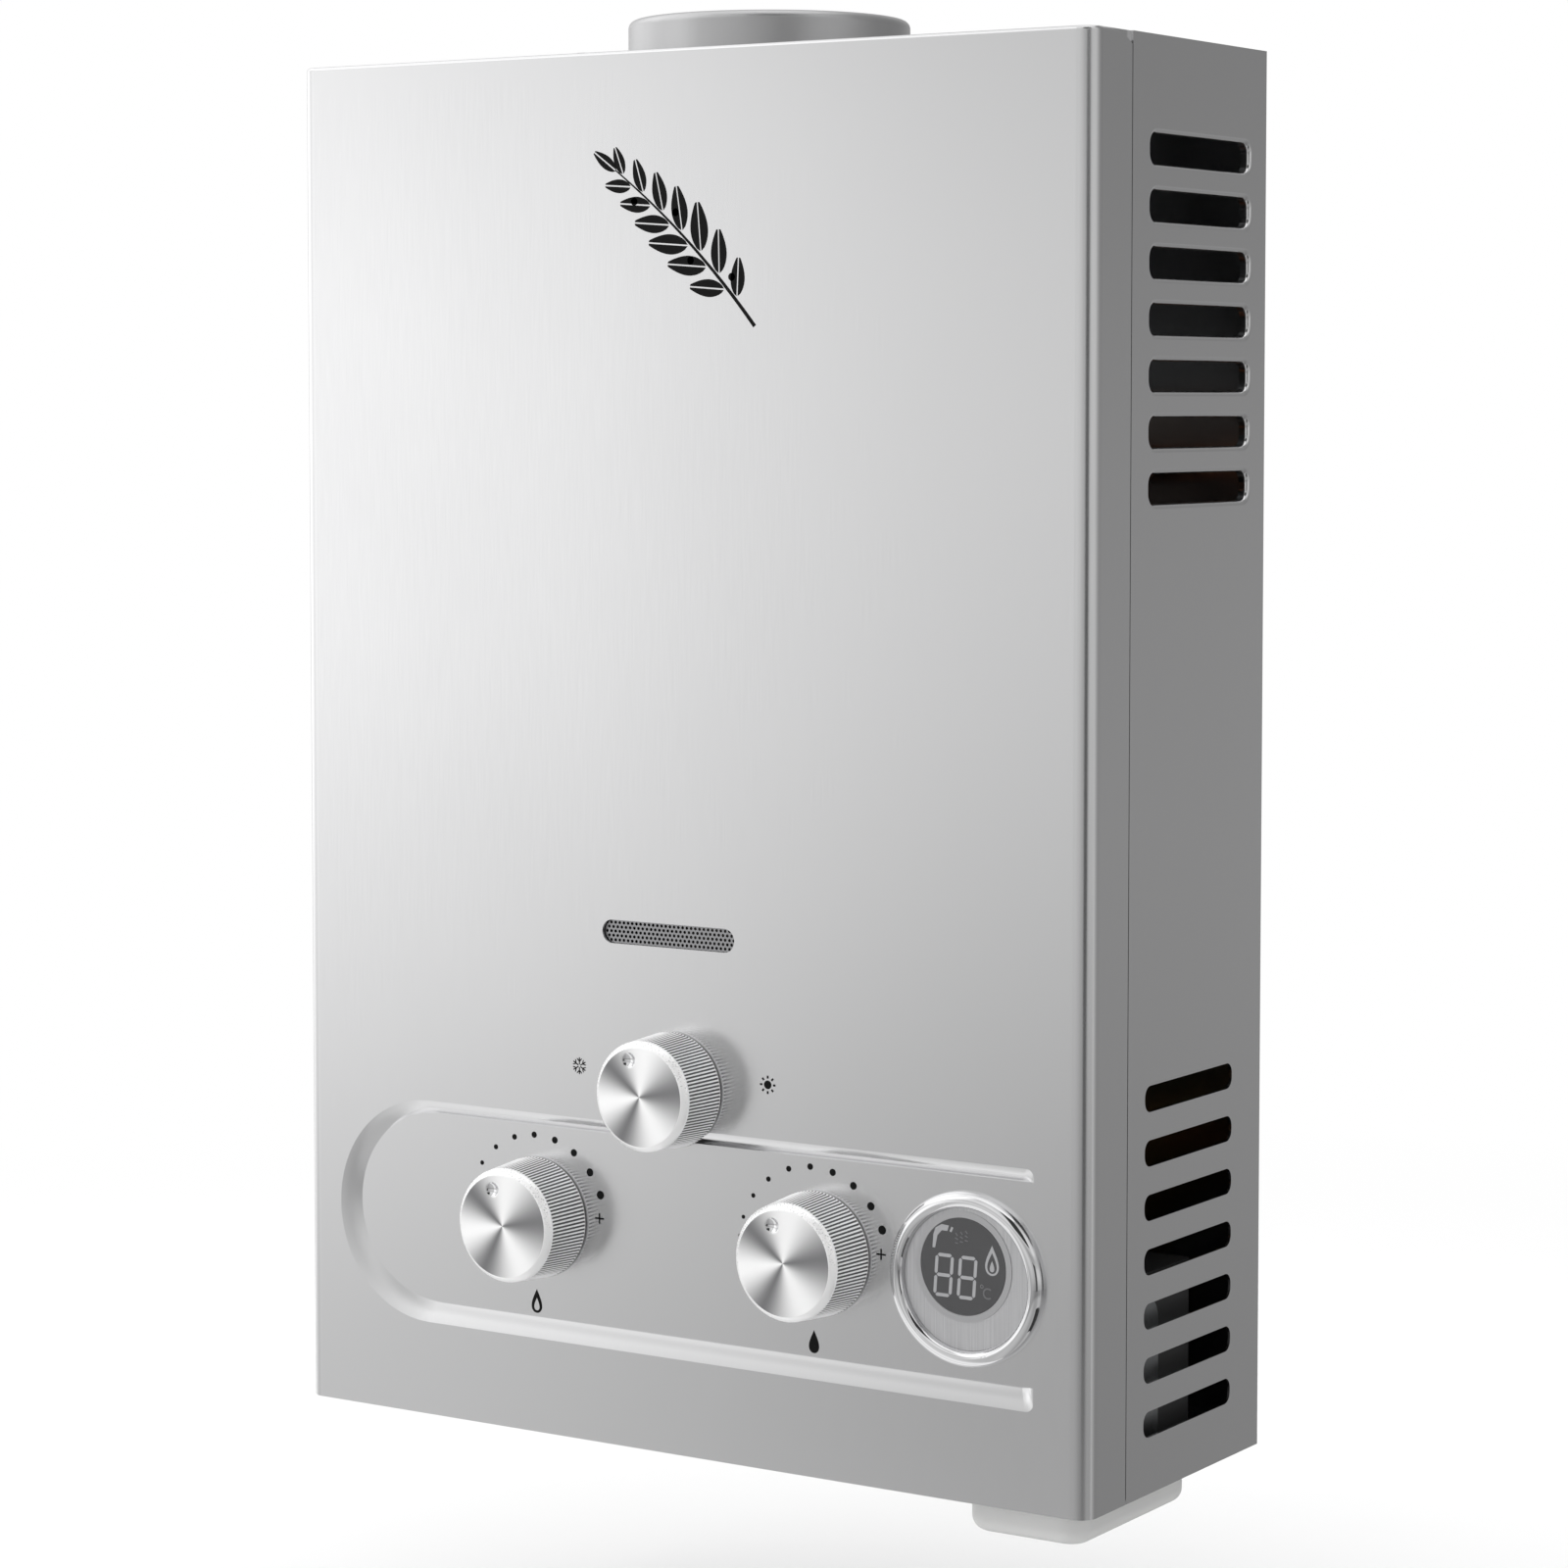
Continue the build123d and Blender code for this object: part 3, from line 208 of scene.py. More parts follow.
# Finishes
sheetLook = {
    "name": "satinSheet", "color": (0.83, 0.83, 0.835), "shade": (0.74, 0.74, 0.75), "rough": 0.2,
    "metal": 1.0, "grain": (2400, 2400, 70), "grainTone": 0.25, "cloud": 9.0, "cloudTone": 0.2,
    "roughGrain": 0.06, "roughCloud": 0.05, "bump": 0.06, "depth": 0.00006, "coat": 0.25, "coatRough": 0.06,
}


def sheetFinish(look):  # rolled or drawn metal: faint grain along one way and soft clouds
    skin = Finish(look["name"])
    grain = skin.noise(skin.spot(look["grain"]), detail=3.0)
    cloud = skin.noise(skin.spot(), look["cloud"])
    share = grain.sway(look["grainTone"]) + cloud * look["cloudTone"]
    return skin.close({
        "Base Color": skin.mix(share, look["color"], look["shade"]),
        "Metallic": look["metal"],
        "Roughness": look["rough"] + grain.sway(look["roughGrain"]) + cloud.sway(look["roughCloud"]),
        "Normal": skin.bump(grain, look["bump"], look["depth"]),
        "Coat Weight": look["coat"],
        "Coat Roughness": look["coatRough"],
    })


zincLook = {
    "name": "zincSheet", "color": (0.46, 0.47, 0.48), "shade": (0.33, 0.34, 0.35), "flake": 160.0,
    "dust": 500.0, "flakeTone": 0.7, "dustTone": 0.3, "rough": 0.42, "roughFlake": 0.16, "bump": 0.08,
    "depth": 0.0001,
}


def zincFinish(look):  # galvanised sheet with its spangle
    skin = Finish(look["name"])
    cells = skin.node("TexVoronoi", None, {"Vector": skin.spot(), "Scale": look["flake"]}, out="Color")
    flake = skin.node("RGBToBW", None, {"Color": cells})
    dust = skin.noise(skin.spot(), look["dust"], detail=4.0)
    share = flake * look["flakeTone"] + dust * look["dustTone"]
    return skin.close({
        "Base Color": skin.mix(share, look["color"], look["shade"]),
        "Metallic": 1.0,
        "Roughness": look["rough"] + flake.sway(look["roughFlake"]),
        "Normal": skin.bump(dust, look["bump"], look["depth"]),
    })


plasticLook = {"roughGrain": 0.12, "depth": 0.00008, "coat": 0.0, "coatRough": 0.15}


def plasticFinish(look):  # moulded plastic with spark-eroded grain
    skin = Finish(look["name"])
    grain = skin.noise(skin.spot(), look["grain"])
    flow = skin.noise(skin.spot(look["flow"]))
    return skin.close({
        "Base Color": skin.mix(flow, look["color"], look["shade"]),
        "Roughness": look["rough"] + grain.sway(look["roughGrain"]),
        "Normal": skin.bump(grain, look["bump"], look["depth"]),
        "Coat Weight": look["coat"],
        "Coat Roughness": look["coatRough"],
    })


castLook = {"metal": 1.0, "stainTone": 0.6, "gritTone": 0.4, "roughGrit": 0.2, "depth": 0.00015}


def castFinish(look):  # cast or machined alloy: coarse skin, darker in its pores
    skin = Finish(look["name"])
    grit = skin.noise(skin.spot(), look["grit"], detail=5.0, rough=0.6)
    stain = skin.noise(skin.spot(), look["stain"], detail=3.0)
    share = stain * look["stainTone"] + grit * look["gritTone"]
    return skin.close({
        "Base Color": skin.mix(share, look["color"], look["shade"]),
        "Metallic": look["metal"],
        "Roughness": look["rough"] + grit.sway(look["roughGrit"]),
        "Normal": skin.bump(grit, look["bump"], look["depth"]),
    })


# bright and dark are the tones of the painted highlight fan on the knob face
spunSheenLook = {
    "name": "knobFace", "bright": (0.98, 0.98, 0.98), "dark": (0.19, 0.19, 0.195), "sectors": 3,
    "turn": 18.0, "sharp": 0.85, "lean": 12.0, "leanFrom": -15.0, "rough": 0.3, "roughLines": 0.1,
    "metal": 0.4, "lines": 9000.0, "drawn": 0.5, "bump": 0.12, "depth": 0.00004,
}


def spunSheenFinish(look):  # knob face: fine circles, and a painted highlight, a fan of three bright sectors in the base colour
    skin = Finish(look["name"])
    x, y, _ = skin.parts()
    angle = x.angleOver(y)
    angle = angle + (angle - math.radians(look["leanFrom"])).cosine() * math.radians(look["lean"])
    # painted highlight: bright and dark sectors by angle round the knob's axis, standing in for the spun sheen
    paintedSheen = ((angle - math.radians(look["turn"])) * look["sectors"]).wave()
    ring = skin.node("CombineXYZ", None, {"X": skin.flatReach(), "Y": 0.0, "Z": 0.0})
    fine = skin.noise(ring, look["lines"])
    return skin.close({
        "Base Color": skin.mix(paintedSheen ** look["sharp"], look["dark"], look["bright"]),
        "Metallic": look["metal"],
        "Roughness": look["rough"] + fine.sway(look["roughLines"]),
        "Anisotropic": look["drawn"],
        "Normal": skin.bump(fine, look["bump"], look["depth"]),
    })


brushedLook = {
    "name": "silverFace", "color": (0.66, 0.66, 0.67), "shade": (0.50, 0.50, 0.51),
    "grain": (2600, 2600, 25), "from": 0.3, "to": 0.7, "rough": 0.42, "roughLines": 0.15,
    "metal": 0.8, "bump": 0.25, "depth": 0.00006,
}


def brushedFinish(look):  # display face: upright brush lines
    skin = Finish(look["name"])
    lines = skin.noise(skin.spot(look["grain"]), detail=4.0, rough=0.6)
    stops = [(look["from"], look["shade"]), (look["to"], look["color"])]
    return skin.close({
        "Base Color": skin.node("ValToRGB", {"stops": stops}, {"Fac": lines}),
        "Metallic": look["metal"],
        "Roughness": look["rough"] + lines.sway(look["roughLines"]),
        "Normal": skin.bump(lines, look["bump"], look["depth"]),
    })


boardLook = {
    "name": "board", "color": (0.015, 0.10, 0.045), "shade": (0.06, 0.20, 0.09), "tracks": 260.0,
    "narrow": 40.0, "grain": 900.0, "trackTone": 0.6, "grainTone": 0.1, "rough": 0.35, "roughGrain": 0.15,
    "bump": 0.2, "depth": 0.0001,
}


def boardFinish(look):  # lacquered circuit board with lighter tracks
    skin = Finish(look["name"])
    sockets = {"Vector": skin.spot(), "Scale": look["tracks"]}
    cells = skin.node("TexVoronoi", {"feature": "DISTANCE_TO_EDGE"}, sockets)
    track = 1.0 - (cells * look["narrow"]).atMost(1.0)
    grain = skin.noise(skin.spot(), look["grain"])
    share = track * look["trackTone"] + grain * look["grainTone"]
    return skin.close({
        "Base Color": skin.mix(share, look["color"], look["shade"]),
        "Roughness": look["rough"] + grain * look["roughGrain"],
        "Normal": skin.bump(track, look["bump"], look["depth"]),
    })


wrapLook = {
    "name": "cellWrap", "color": (0.03, 0.03, 0.032), "second": (0.42, 0.30, 0.12),
    "shade": (0.10, 0.10, 0.10), "level": -0.178, "scuff": (300, 300, 40), "scuffTone": 0.3,
    "secondTone": 0.4, "rough": 0.28, "roughScuff": 0.15, "coat": 0.3, "coatRough": 0.1,
}


def wrapFinish(look):  # battery wrap: two plain bands of colour, unprinted
    skin = Finish(look["name"])
    _, _, z = skin.parts()
    band = z.above(look["level"])
    scuff = skin.noise(skin.spot(look["scuff"]), detail=3.0)
    lower = skin.mix(scuff * look["scuffTone"], look["color"], look["shade"])
    upper = skin.mix(scuff * look["secondTone"], look["second"], look["shade"])
    return skin.close({
        "Base Color": skin.mix(band, lower, upper),
        "Roughness": look["rough"] + scuff * look["roughScuff"],
        "Coat Weight": look["coat"],
        "Coat Roughness": look["coatRough"],
    })


windingLook = {
    "name": "winding", "color": (0.11, 0.045, 0.025), "shade": (0.03, 0.015, 0.01), "turns": 6000.0,
    "dust": 300.0, "turnTone": 0.6, "dustTone": 0.4, "rough": 0.45, "roughDust": 0.2,
    "bump": 0.3, "depth": 0.0002,
}


def windingFinish(look):  # taped winding with its fine turns
    skin = Finish(look["name"])
    x, _, _ = skin.parts()
    turns = (x * look["turns"]).wave()
    dust = skin.noise(skin.spot(), look["dust"], detail=3.0)
    share = turns * look["turnTone"] + dust * look["dustTone"]
    return skin.close({
        "Base Color": skin.mix(share, look["color"], look["shade"]),
        "Roughness": look["rough"] + dust * look["roughDust"],
        "Normal": skin.bump(turns, look["bump"], look["depth"]),
    })


inkLook = {"patch": 1500.0, "rough": 0.5, "roughPatch": 0.1, "bump": 0.05, "depth": 0.00003, "sheen": 0.3}


def inkFinish(look):  # screen-printed ink, a little uneven
    skin = Finish(look["name"])
    patch = skin.noise(skin.spot(), look["patch"], detail=3.0)
    return skin.close({
        "Base Color": skin.mix(patch, look["color"], look["shade"]),
        "Roughness": look["rough"] + patch * look["roughPatch"],
        "Normal": skin.bump(patch, look["bump"], look["depth"]),
        "Specular IOR Level": look["sheen"],
    })


def like(finish, look, name, color, shade, **changes):  # a finish with some of its values changed
    return finish({**look, "name": name, "color": color, "shade": shade, **changes})


finishes = {
    "satin_steel": sheetFinish(sheetLook),
    "zinc_sheet": zincFinish(zincLook),
    "spun_aluminium": like(
        sheetFinish, sheetLook, "knobSide", (0.95, 0.95, 0.955), (0.87, 0.87, 0.88),
        rough=0.34, metal=0.15, grain=(900, 900, 2600), coat=0.0),
    "chrome_trim": like(
        sheetFinish, sheetLook, "chromeTrim", (0.88, 0.88, 0.89), (0.82, 0.82, 0.83),
        rough=0.03, roughGrain=0.01, roughCloud=0.02, bump=0.01, coat=0.0),
    "silver_face": brushedFinish(brushedLook),
    "dark_window": like(
        plasticFinish, plasticLook, "darkWindow", (0.060, 0.060, 0.062), (0.052, 0.052, 0.054),
        grain=2500.0, flow=(40, 40, 40), rough=0.22, bump=0.02, coat=0.6),
    "white_plastic": like(
        plasticFinish, plasticLook, "whitePlastic", (0.58, 0.58, 0.575), (0.53, 0.53, 0.525),
        grain=1800.0, flow=(30, 12, 30), rough=0.38, bump=0.06, coat=0.15),
    "black_plastic": like(
        plasticFinish, plasticLook, "blackPlastic", (0.035, 0.035, 0.036), (0.022, 0.022, 0.023),
        grain=1600.0, flow=(30, 30, 30), rough=0.5, bump=0.15),
    "board": boardFinish(boardLook),
    "cell_wrap": wrapFinish(wrapLook),
    "nickel": like(
        sheetFinish, sheetLook, "nickel", (0.70, 0.68, 0.63), (0.60, 0.58, 0.54), rough=0.22, coat=0.0),
    "copper": like(
        castFinish, castLook, "copper", (0.60, 0.28, 0.16), (0.36, 0.16, 0.10),
        grit=900.0, stain=30.0, rough=0.36, bump=0.06),
    "burner_steel": like(
        castFinish, castLook, "burnerSteel", (0.42, 0.41, 0.40), (0.26, 0.22, 0.20),
        grit=700.0, stain=40.0, rough=0.42, bump=0.08),
    "cast_alloy": like(
        castFinish, castLook, "castAlloy", (0.50, 0.50, 0.50), (0.38, 0.38, 0.385),
        grit=1300.0, stain=60.0, metal=0.9, rough=0.5, bump=0.3),
    "brass": like(
        castFinish, castLook, "brass", (0.62, 0.44, 0.17), (0.46, 0.31, 0.11),
        grit=1100.0, stain=50.0, rough=0.3, bump=0.06),
    "ceramic": like(
        plasticFinish, plasticLook, "ceramic", (0.78, 0.75, 0.68), (0.70, 0.67, 0.60),
        grain=700.0, flow=(200, 200, 200), rough=0.55, bump=0.1),
    "rubber": like(
        plasticFinish, plasticLook, "rubber", (0.030, 0.030, 0.030), (0.045, 0.045, 0.044),
        grain=800.0, flow=(120, 120, 120), rough=0.7, bump=0.2),
    "spring_steel": like(
        sheetFinish, sheetLook, "springSteel", (0.50, 0.50, 0.50), (0.36, 0.36, 0.36), rough=0.3, coat=0.0),
    "winding": windingFinish(windingLook),
    "screw_steel": like(
        sheetFinish, sheetLook, "screwSteel", (0.58, 0.58, 0.58), (0.46, 0.46, 0.47), rough=0.28, coat=0.0),
}
for part in frame["record"]["subparts"]:
    nodes[part["node"]].data.materials.clear()
    nodes[part["node"]].data.materials.append(finishes[part["material_slot"]])

ownFinishes = {  # nodes that differ from the rest of their slot
    "flame_window_mesh": like(
        sheetFinish, sheetLook, "windowMesh", (0.42, 0.42, 0.43), (0.34, 0.34, 0.35), rough=0.34, coat=0.0),
    "chamber_shell": like(
        castFinish, castLook, "tinnedCopper", (0.40, 0.39, 0.38), (0.30, 0.24, 0.21),
        grit=900.0, stain=30.0, rough=0.4, bump=0.06),
    "flue_collar": like(
        sheetFinish, sheetLook, "collarSheet", (0.57, 0.57, 0.575), (0.50, 0.50, 0.505),
        rough=0.36, metal=0.9, coat=0.0),
}
for name, finish in ownFinishes.items():
    nodes[name].data.materials[0] = finish

knobFaceFinish = spunSheenFinish(spunSheenLook)
knobEdgeFinish = like(
    sheetFinish, sheetLook, "knobEdge", (0.88, 0.88, 0.88), (0.80, 0.80, 0.80),
    rough=0.28, metal=0.35, coat=0.0, grainTone=0.05, roughGrain=0.02, bump=0.01)
# painted shade: the knurl valleys of the knob sides get a near-black colour for the shade in the grooves
valleyShadeFinish = like(
    sheetFinish, sheetLook, "knobValley", (0.12, 0.12, 0.122), (0.09, 0.09, 0.092),
    rough=0.4, metal=0.6, coat=0.0)
knobDimpleFinish = like(
    sheetFinish, sheetLook, "knobDimple", (0.86, 0.86, 0.87), (0.80, 0.80, 0.81), rough=0.05, coat=0.0)
inkBlack = like(inkFinish, inkLook, "inkBlack", (0.006, 0.006, 0.006), (0.003, 0.003, 0.003), sheen=0.12)
inkLight = like(inkFinish, inkLook, "inkLight", (0.36, 0.36, 0.37), (0.31, 0.31, 0.32))
inkDim = like(inkFinish, inkLook, "inkDim", (0.13, 0.13, 0.135), (0.11, 0.11, 0.115))
print("finishes made:", len(bpy.data.materials))


# Pieces made in mesh code
def addPiece(name, points, faces, body, looks, lookOf=None, matrix=None, smooth=True):
    mesh = bpy.data.meshes.new(name)
    mesh.from_pydata(points, [], faces)
    mesh.validate()
    for look in looks:
        mesh.materials.append(look)
    for i, face in enumerate(mesh.polygons):
        face.use_smooth = smooth
        if lookOf:
            face.material_index = lookOf[i]
    piece = bpy.data.objects.new(name, mesh)
    bpy.context.scene.collection.objects.link(piece)
    if matrix:
        piece.matrix_world = matrix
    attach(piece, body)
    return piece


def facingFront(x, y, z):  # local X right, local Y up, local Z out of the front
    return Matrix.Translation((x * mm, y * mm, z * mm)) @ Matrix.Rotation(math.radians(90), 4, "X")


frontPlane = -112.0
knobBook = {
    "backGap": 0.6, "length": 18.4, "chamfer": 1.7, "ridges": 100, "ridgeDepth": 0.42, "knurlStart": 0.5,
    "knurlRise": 0.25, "knurlEnd": 15.5, "knurlFade": 0.5, "wall": 2.2, "boss": 6.5, "socket": 3.1,
    "socketDepth": 11.9, "dimpleRadius": 2.5, "dimpleDepth": 1.2, "dimpleReach": 12.0, "pointer": 19.0,
    "ringStep": 0.3, "innerRing": 0.6, "backBevel": 0.35, "edgeBand": 0.15, "edgeRound": 0.12,
    "edgeLift": 0.1, "crispAngle": 35.0,
}
sideLook, faceLook, edgeLook, valleyShadeLook, dimpleLook = range(5)


# Each ring has its radius, height, share of the ridge depth and the look of the band that follows
def knobRings(rimRadius, faceRadius):
    book = knobBook
    back = book["backGap"]
    front = back + book["length"]
    sideEnd = front - book["chamfer"]
    inner = front - book["wall"]
    bevel = book["backBevel"]

    def side(height):
        share = (height - back) / (sideEnd - back)
        return rimRadius + (faceRadius - rimRadius) * share

    rings = [
        (book["socket"], back + book["socketDepth"], 0, sideLook),
        (book["socket"], back, 0, sideLook),
        (book["boss"], back, 0, sideLook),
        (book["boss"], inner, 0, sideLook),
        (faceRadius - book["wall"], inner, 0, sideLook),
        (rimRadius - book["wall"], back, 0, sideLook),
        (side(back) - bevel, back, 0, sideLook),
        (side(back + bevel), back + bevel, 0, sideLook),
    ]
    knurl = (
        (book["knurlStart"], 0),
        (book["knurlStart"] + book["knurlRise"], 1),
        (book["knurlEnd"], 1),
        (book["knurlEnd"] + book["knurlFade"], 0),
    )
    for height, depth in knurl:
        rings.append((side(back + height), back + height, depth, sideLook))
    bandStart = sideEnd - book["edgeBand"]
    topRadius = faceRadius - book["chamfer"]
    rings.append((side(bandStart), bandStart, 0, edgeLook))
    rings.append((faceRadius - book["edgeRound"], sideEnd + book["edgeLift"], 0, edgeLook))
    rings.append((topRadius + book["edgeLift"], front - book["edgeLift"], 0, edgeLook))
    flat = topRadius - book["edgeRound"]
    run = flat - book["innerRing"]
    steps = int(run / book["ringStep"])
    for i in range(steps + 1):
        rings.append((flat - i * run / steps, front, 0, faceLook))
    return rings


def knobPiece(name, body, x, z, rimRadius, faceRadius):
    book = knobBook
    ripple = (0.0, 0.5, 1.0, 0.5)  # crest, slope, valley, slope
    valleySteps = (1, 2)
    perRidge = len(ripple)
    segments = book["ridges"] * perRidge
    rings = knobRings(rimRadius, faceRadius)
    turn = math.radians(book["pointer"])
    spotX = -book["dimpleReach"] * math.sin(turn)
    spotY = book["dimpleReach"] * math.cos(turn)
    ball = (book["dimpleRadius"] ** 2 + book["dimpleDepth"] ** 2) / (2 * book["dimpleDepth"])
    points = []
    sunk = set()
    for radius, height, depth, look in rings:
        for i in range(segments):
            angle = fullTurn * i / segments
            reach = radius - depth * book["ridgeDepth"] * ripple[i % perRidge]
            px, py, pz = reach * math.sin(angle), reach * math.cos(angle), height
            off = math.hypot(px - spotX, py - spotY)
            if look == faceLook and off < book["dimpleRadius"]:
                pz -= math.sqrt(ball**2 - off**2) - (ball - book["dimpleDepth"])
                sunk.add(len(points))
            points.append((px * mm, py * mm, pz * mm))
    faces = []
    lookOf = []
    for k in range(len(rings) - 1):
        low, high = k * segments, (k + 1) * segments
        knurled = rings[k][2] + rings[k + 1][2] > 0
        for i in range(segments):
            j = (i + 1) % segments
            face = (low + i, high + i, high + j, low + j)
            faces.append(face)
            # faces in the knurl valleys take the painted shade colour
            if knurled and i % perRidge in valleySteps:
                lookOf.append(valleyShadeLook)
            elif all(spot in sunk for spot in face):
                lookOf.append(dimpleLook)
            else:
                lookOf.append(rings[k][3])
    tip = len(points)
    points.append((0, 0, rings[-1][1] * mm))
    root = len(points)
    points.append((0, 0, rings[0][1] * mm))
    last = (len(rings) - 1) * segments
    for i in range(segments):
        j = (i + 1) % segments
        faces.append((last + i, tip, last + j))
        lookOf.append(faceLook)
        faces.append((i, j, root))
        lookOf.append(sideLook)
    looks = [finishes["spun_aluminium"], knobFaceFinish, knobEdgeFinish, valleyShadeFinish, knobDimpleFinish]
    place = facingFront(x, frontPlane, z)
    piece = addPiece(name, points, faces, body, looks, lookOf, place)
    piece.data.set_sharp_from_angle(angle=math.radians(book["crispAngle"]))
    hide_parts(body)


knobPlaces = {  # body, x, z, radius at the back, radius at the face
    "gasKnob": ("gas_knob", -53.0, -150.0, 19.5, 18.2),
    "waterKnob": ("water_knob", 53.0, -150.0, 19.5, 18.2),
    "seasonKnob": ("season_knob", 0.0, -104.0, 18.25, 17.3),
}
for name, place in knobPlaces.items():
    knobPiece(name, *place)
print("knobs turned")


# Prints: each shape is a list of loops, the first its outline and the rest its holes
leastArea = 1e-9


def printPiece(name, shapes, x, y, z, look, thick):
    points = []
    faces = []
    for loops in shapes:
        start = len(points)
        drawn = [[Vector((px, py, 0)) for px, py in loop] for loop in loops]
        flat = [p for loop in drawn for p in loop]
        count = len(flat)
        points += [(p.x * mm, p.y * mm, 0) for p in flat]
        points += [(p.x * mm, p.y * mm, thick * mm) for p in flat]
        for a, b, c in tessellate_polygon(drawn):
            normal = (flat[b] - flat[a]).cross(flat[c] - flat[a]).z
            if abs(normal) < leastArea:
                continue
            if normal < 0:
                b, c = c, b
            faces.append((start + count + a, start + count + b, start + count + c))
            faces.append((start + a, start + c, start + b))
        first = 0
        for k, loop in enumerate(loops):
            size = len(loop)
            area = sum(p[0] * q[1] - q[0] * p[1] for p, q in zip(loop, loop[1:] + loop[:1]))
            outward = (area > 0) == (k == 0)
            for i in range(size):
                a = start + first + i
                b = start + first + (i + 1) % size
                wall = (a, b, b + count, a + count)
                faces.append(wall if outward else wall[::-1])
            first += size
    return addPiece(name, points, faces, "case", [look], None, facingFront(x, y, z), smooth=False)


def around(x, y, reach, angle):
    return x + reach * math.cos(angle), y + reach * math.sin(angle)


def disc(x, y, radius, count=28):
    return [around(x, y, radius, fullTurn * i / count) for i in range(count)]


def bar(half, low, high):
    return [(-half, low), (half, low), (half, high), (-half, high)]


def drop(x, y, width, height, count=36, taper=1.4):  # a drop with its tip up
    loop = []
    for i in range(count):
        t = fullTurn * i / count
        loop.append((x - width * math.sin(t) * abs(math.sin(t / 2)) ** taper, y + height * math.cos(t)))
    return loop


def turned(loop, angle, x=0.0, y=0.0):
    c, s = math.cos(math.radians(angle)), math.sin(math.radians(angle))
    return [(x + px * c - py * s, y + px * s + py * c) for px, py in loop]


printBook = {
    "thick": 0.04, "lift": 0.005, "dotReach": 27.0,
    "dotAngles": (-84, -71, -54, -37, -19, -2, 15.5, 33, 51, 68), "firstDot": 0.55, "lastDot": 1.4,
    "plusAngle": 84.0, "plusReach": 24.8, "plusSize": 1.7, "plusBar": 0.55,
}
printY = frontPlane - printBook["lift"]


def onFront(name, shapes, x, z):
    printPiece(name, shapes, x, printY, z, inkBlack, printBook["thick"])


def dialMarks(name, x, z):
    book = printBook
    count = len(book["dotAngles"])
    shapes = []
    for i, angle in enumerate(book["dotAngles"]):
        a = math.radians(angle)
        radius = book["firstDot"] + (book["lastDot"] - book["firstDot"]) * i / (count - 1)
        shapes.append([disc(book["dotReach"] * math.sin(a), book["dotReach"] * math.cos(a), radius)])
    a = math.radians(book["plusAngle"])
    px, py = book["plusReach"] * math.sin(a), book["plusReach"] * math.cos(a)
    r, h = book["plusSize"], book["plusBar"] / 2
    cross = [
        (h, h), (h, r), (-h, r), (-h, h), (-r, h), (-r, -h),
        (-h, -h), (-h, -r), (h, -r), (h, -h), (r, -h), (r, h),
    ]
    shapes.append([[(px + cx, py + cy) for cx, cy in cross]])
    onFront(name, shapes, x, z)


dialPlaces = {"gasDialMarks": (-53.3, -150.6), "waterDialMarks": (51.7, -150.4)}
for name, place in dialPlaces.items():
    dialMarks(name, *place)

signBook = {  # drops are given by x, y, width and height
    "gasAt": (-53.4, -177.4), "waterAt": (52.2, -177.6), "winterAt": (-36.3, -99.8),
    "summerAt": (35.2, -99.5), "flame": (0, 0, 2.9, 3.9), "flameHollow": (0, -1.0, 1.5, 2.1),
    "water": (0, 0, 2.6, 3.6), "snowArms": 6, "snowLength": 2.7, "snowHalf": 0.19, "snowCore": 0.45, "fork": 0.75,
    "forkAt": 0.50, "forkTip": 2.2, "forkRoot": 2.8, "sunRadius": 1.35, "rays": 8, "rayHalf": 0.32,
    "rayFrom": 1.95, "rayTo": 2.85,
}


def snowArm(book):
    half, fork, length = book["snowHalf"], book["fork"], book["snowLength"]
    level = length * book["forkAt"]
    right = [
        (half, book["snowCore"]), (half, level), (half + fork, level + fork),
        (half + fork, level + fork + book["forkTip"] * half),
        (half, level + book["forkRoot"] * half), (half, length),
    ]
    return right + [(-px, py) for px, py in reversed(right)]


def roundTheMiddle(loop, count):
    return [[turned(loop, 360 / count * i)] for i in range(count)]


def frontSigns(book):
    flame = [drop(*book["flame"]), drop(*book["flameHollow"])]
    onFront("gasSign", [flame], *book["gasAt"])
    onFront("waterSign", [[drop(*book["water"])]], *book["waterAt"])
    onFront("winterSign", roundTheMiddle(snowArm(book), book["snowArms"]), *book["winterAt"])
    ray = bar(book["rayHalf"], book["rayFrom"], book["rayTo"])
    sun = [[disc(0, 0, book["sunRadius"])]] + roundTheMiddle(ray, book["rays"])
    onFront("summerSign", sun, *book["summerAt"])


frontSigns(signBook)

sprigBook = {
    "at": (3.5, 160.0), "start": (27.0, -26.0), "bend": (4.0, 2.0), "end": (-25.0, 23.0), "stem": 0.55,
    "stemSteps": 30, "stemFull": 1.15, "stemTaper": 0.75, "leaves": 13, "firstLeaf": 0.14, "leafRun": 0.80,
    "longLeaf": 17.0, "shortLeaf": 9.0, "longAt": 0.42, "longFade": 0.58, "width": 0.18, "lean": 40.0,
    "leanFull": 1.15, "leanFade": 0.35, "stalk": 1.0, "gap": 0.45, "leafSteps": 14, "innerFrom": 0.04,
    "innerRun": 0.90, "outerFrom": 0.03, "outerRun": 0.97, "swellSkew": 0.8, "swellFull": 0.9, "berry": 1.25,
    "berryEvery": 3, "berryOff": 3.6, "berryAlong": 2.0, "berryCount": 20, "tipAt": 0.99, "tipLength": 1.25,
    "tipWidth": 0.2,
}


def sprigPoint(t):
    a, b, c = (Vector(sprigBook[k]) for k in ("start", "bend", "end"))
    return a * (1 - t) ** 2 + b * 2 * t * (1 - t) + c * t**2


def sprigWay(t):
    a, b, c = (Vector(sprigBook[k]) for k in ("start", "bend", "end"))
    return ((b - a) * (1 - t) + (c - b) * t).normalized()


def leftOf(way):
    return Vector((-way.y, way.x))


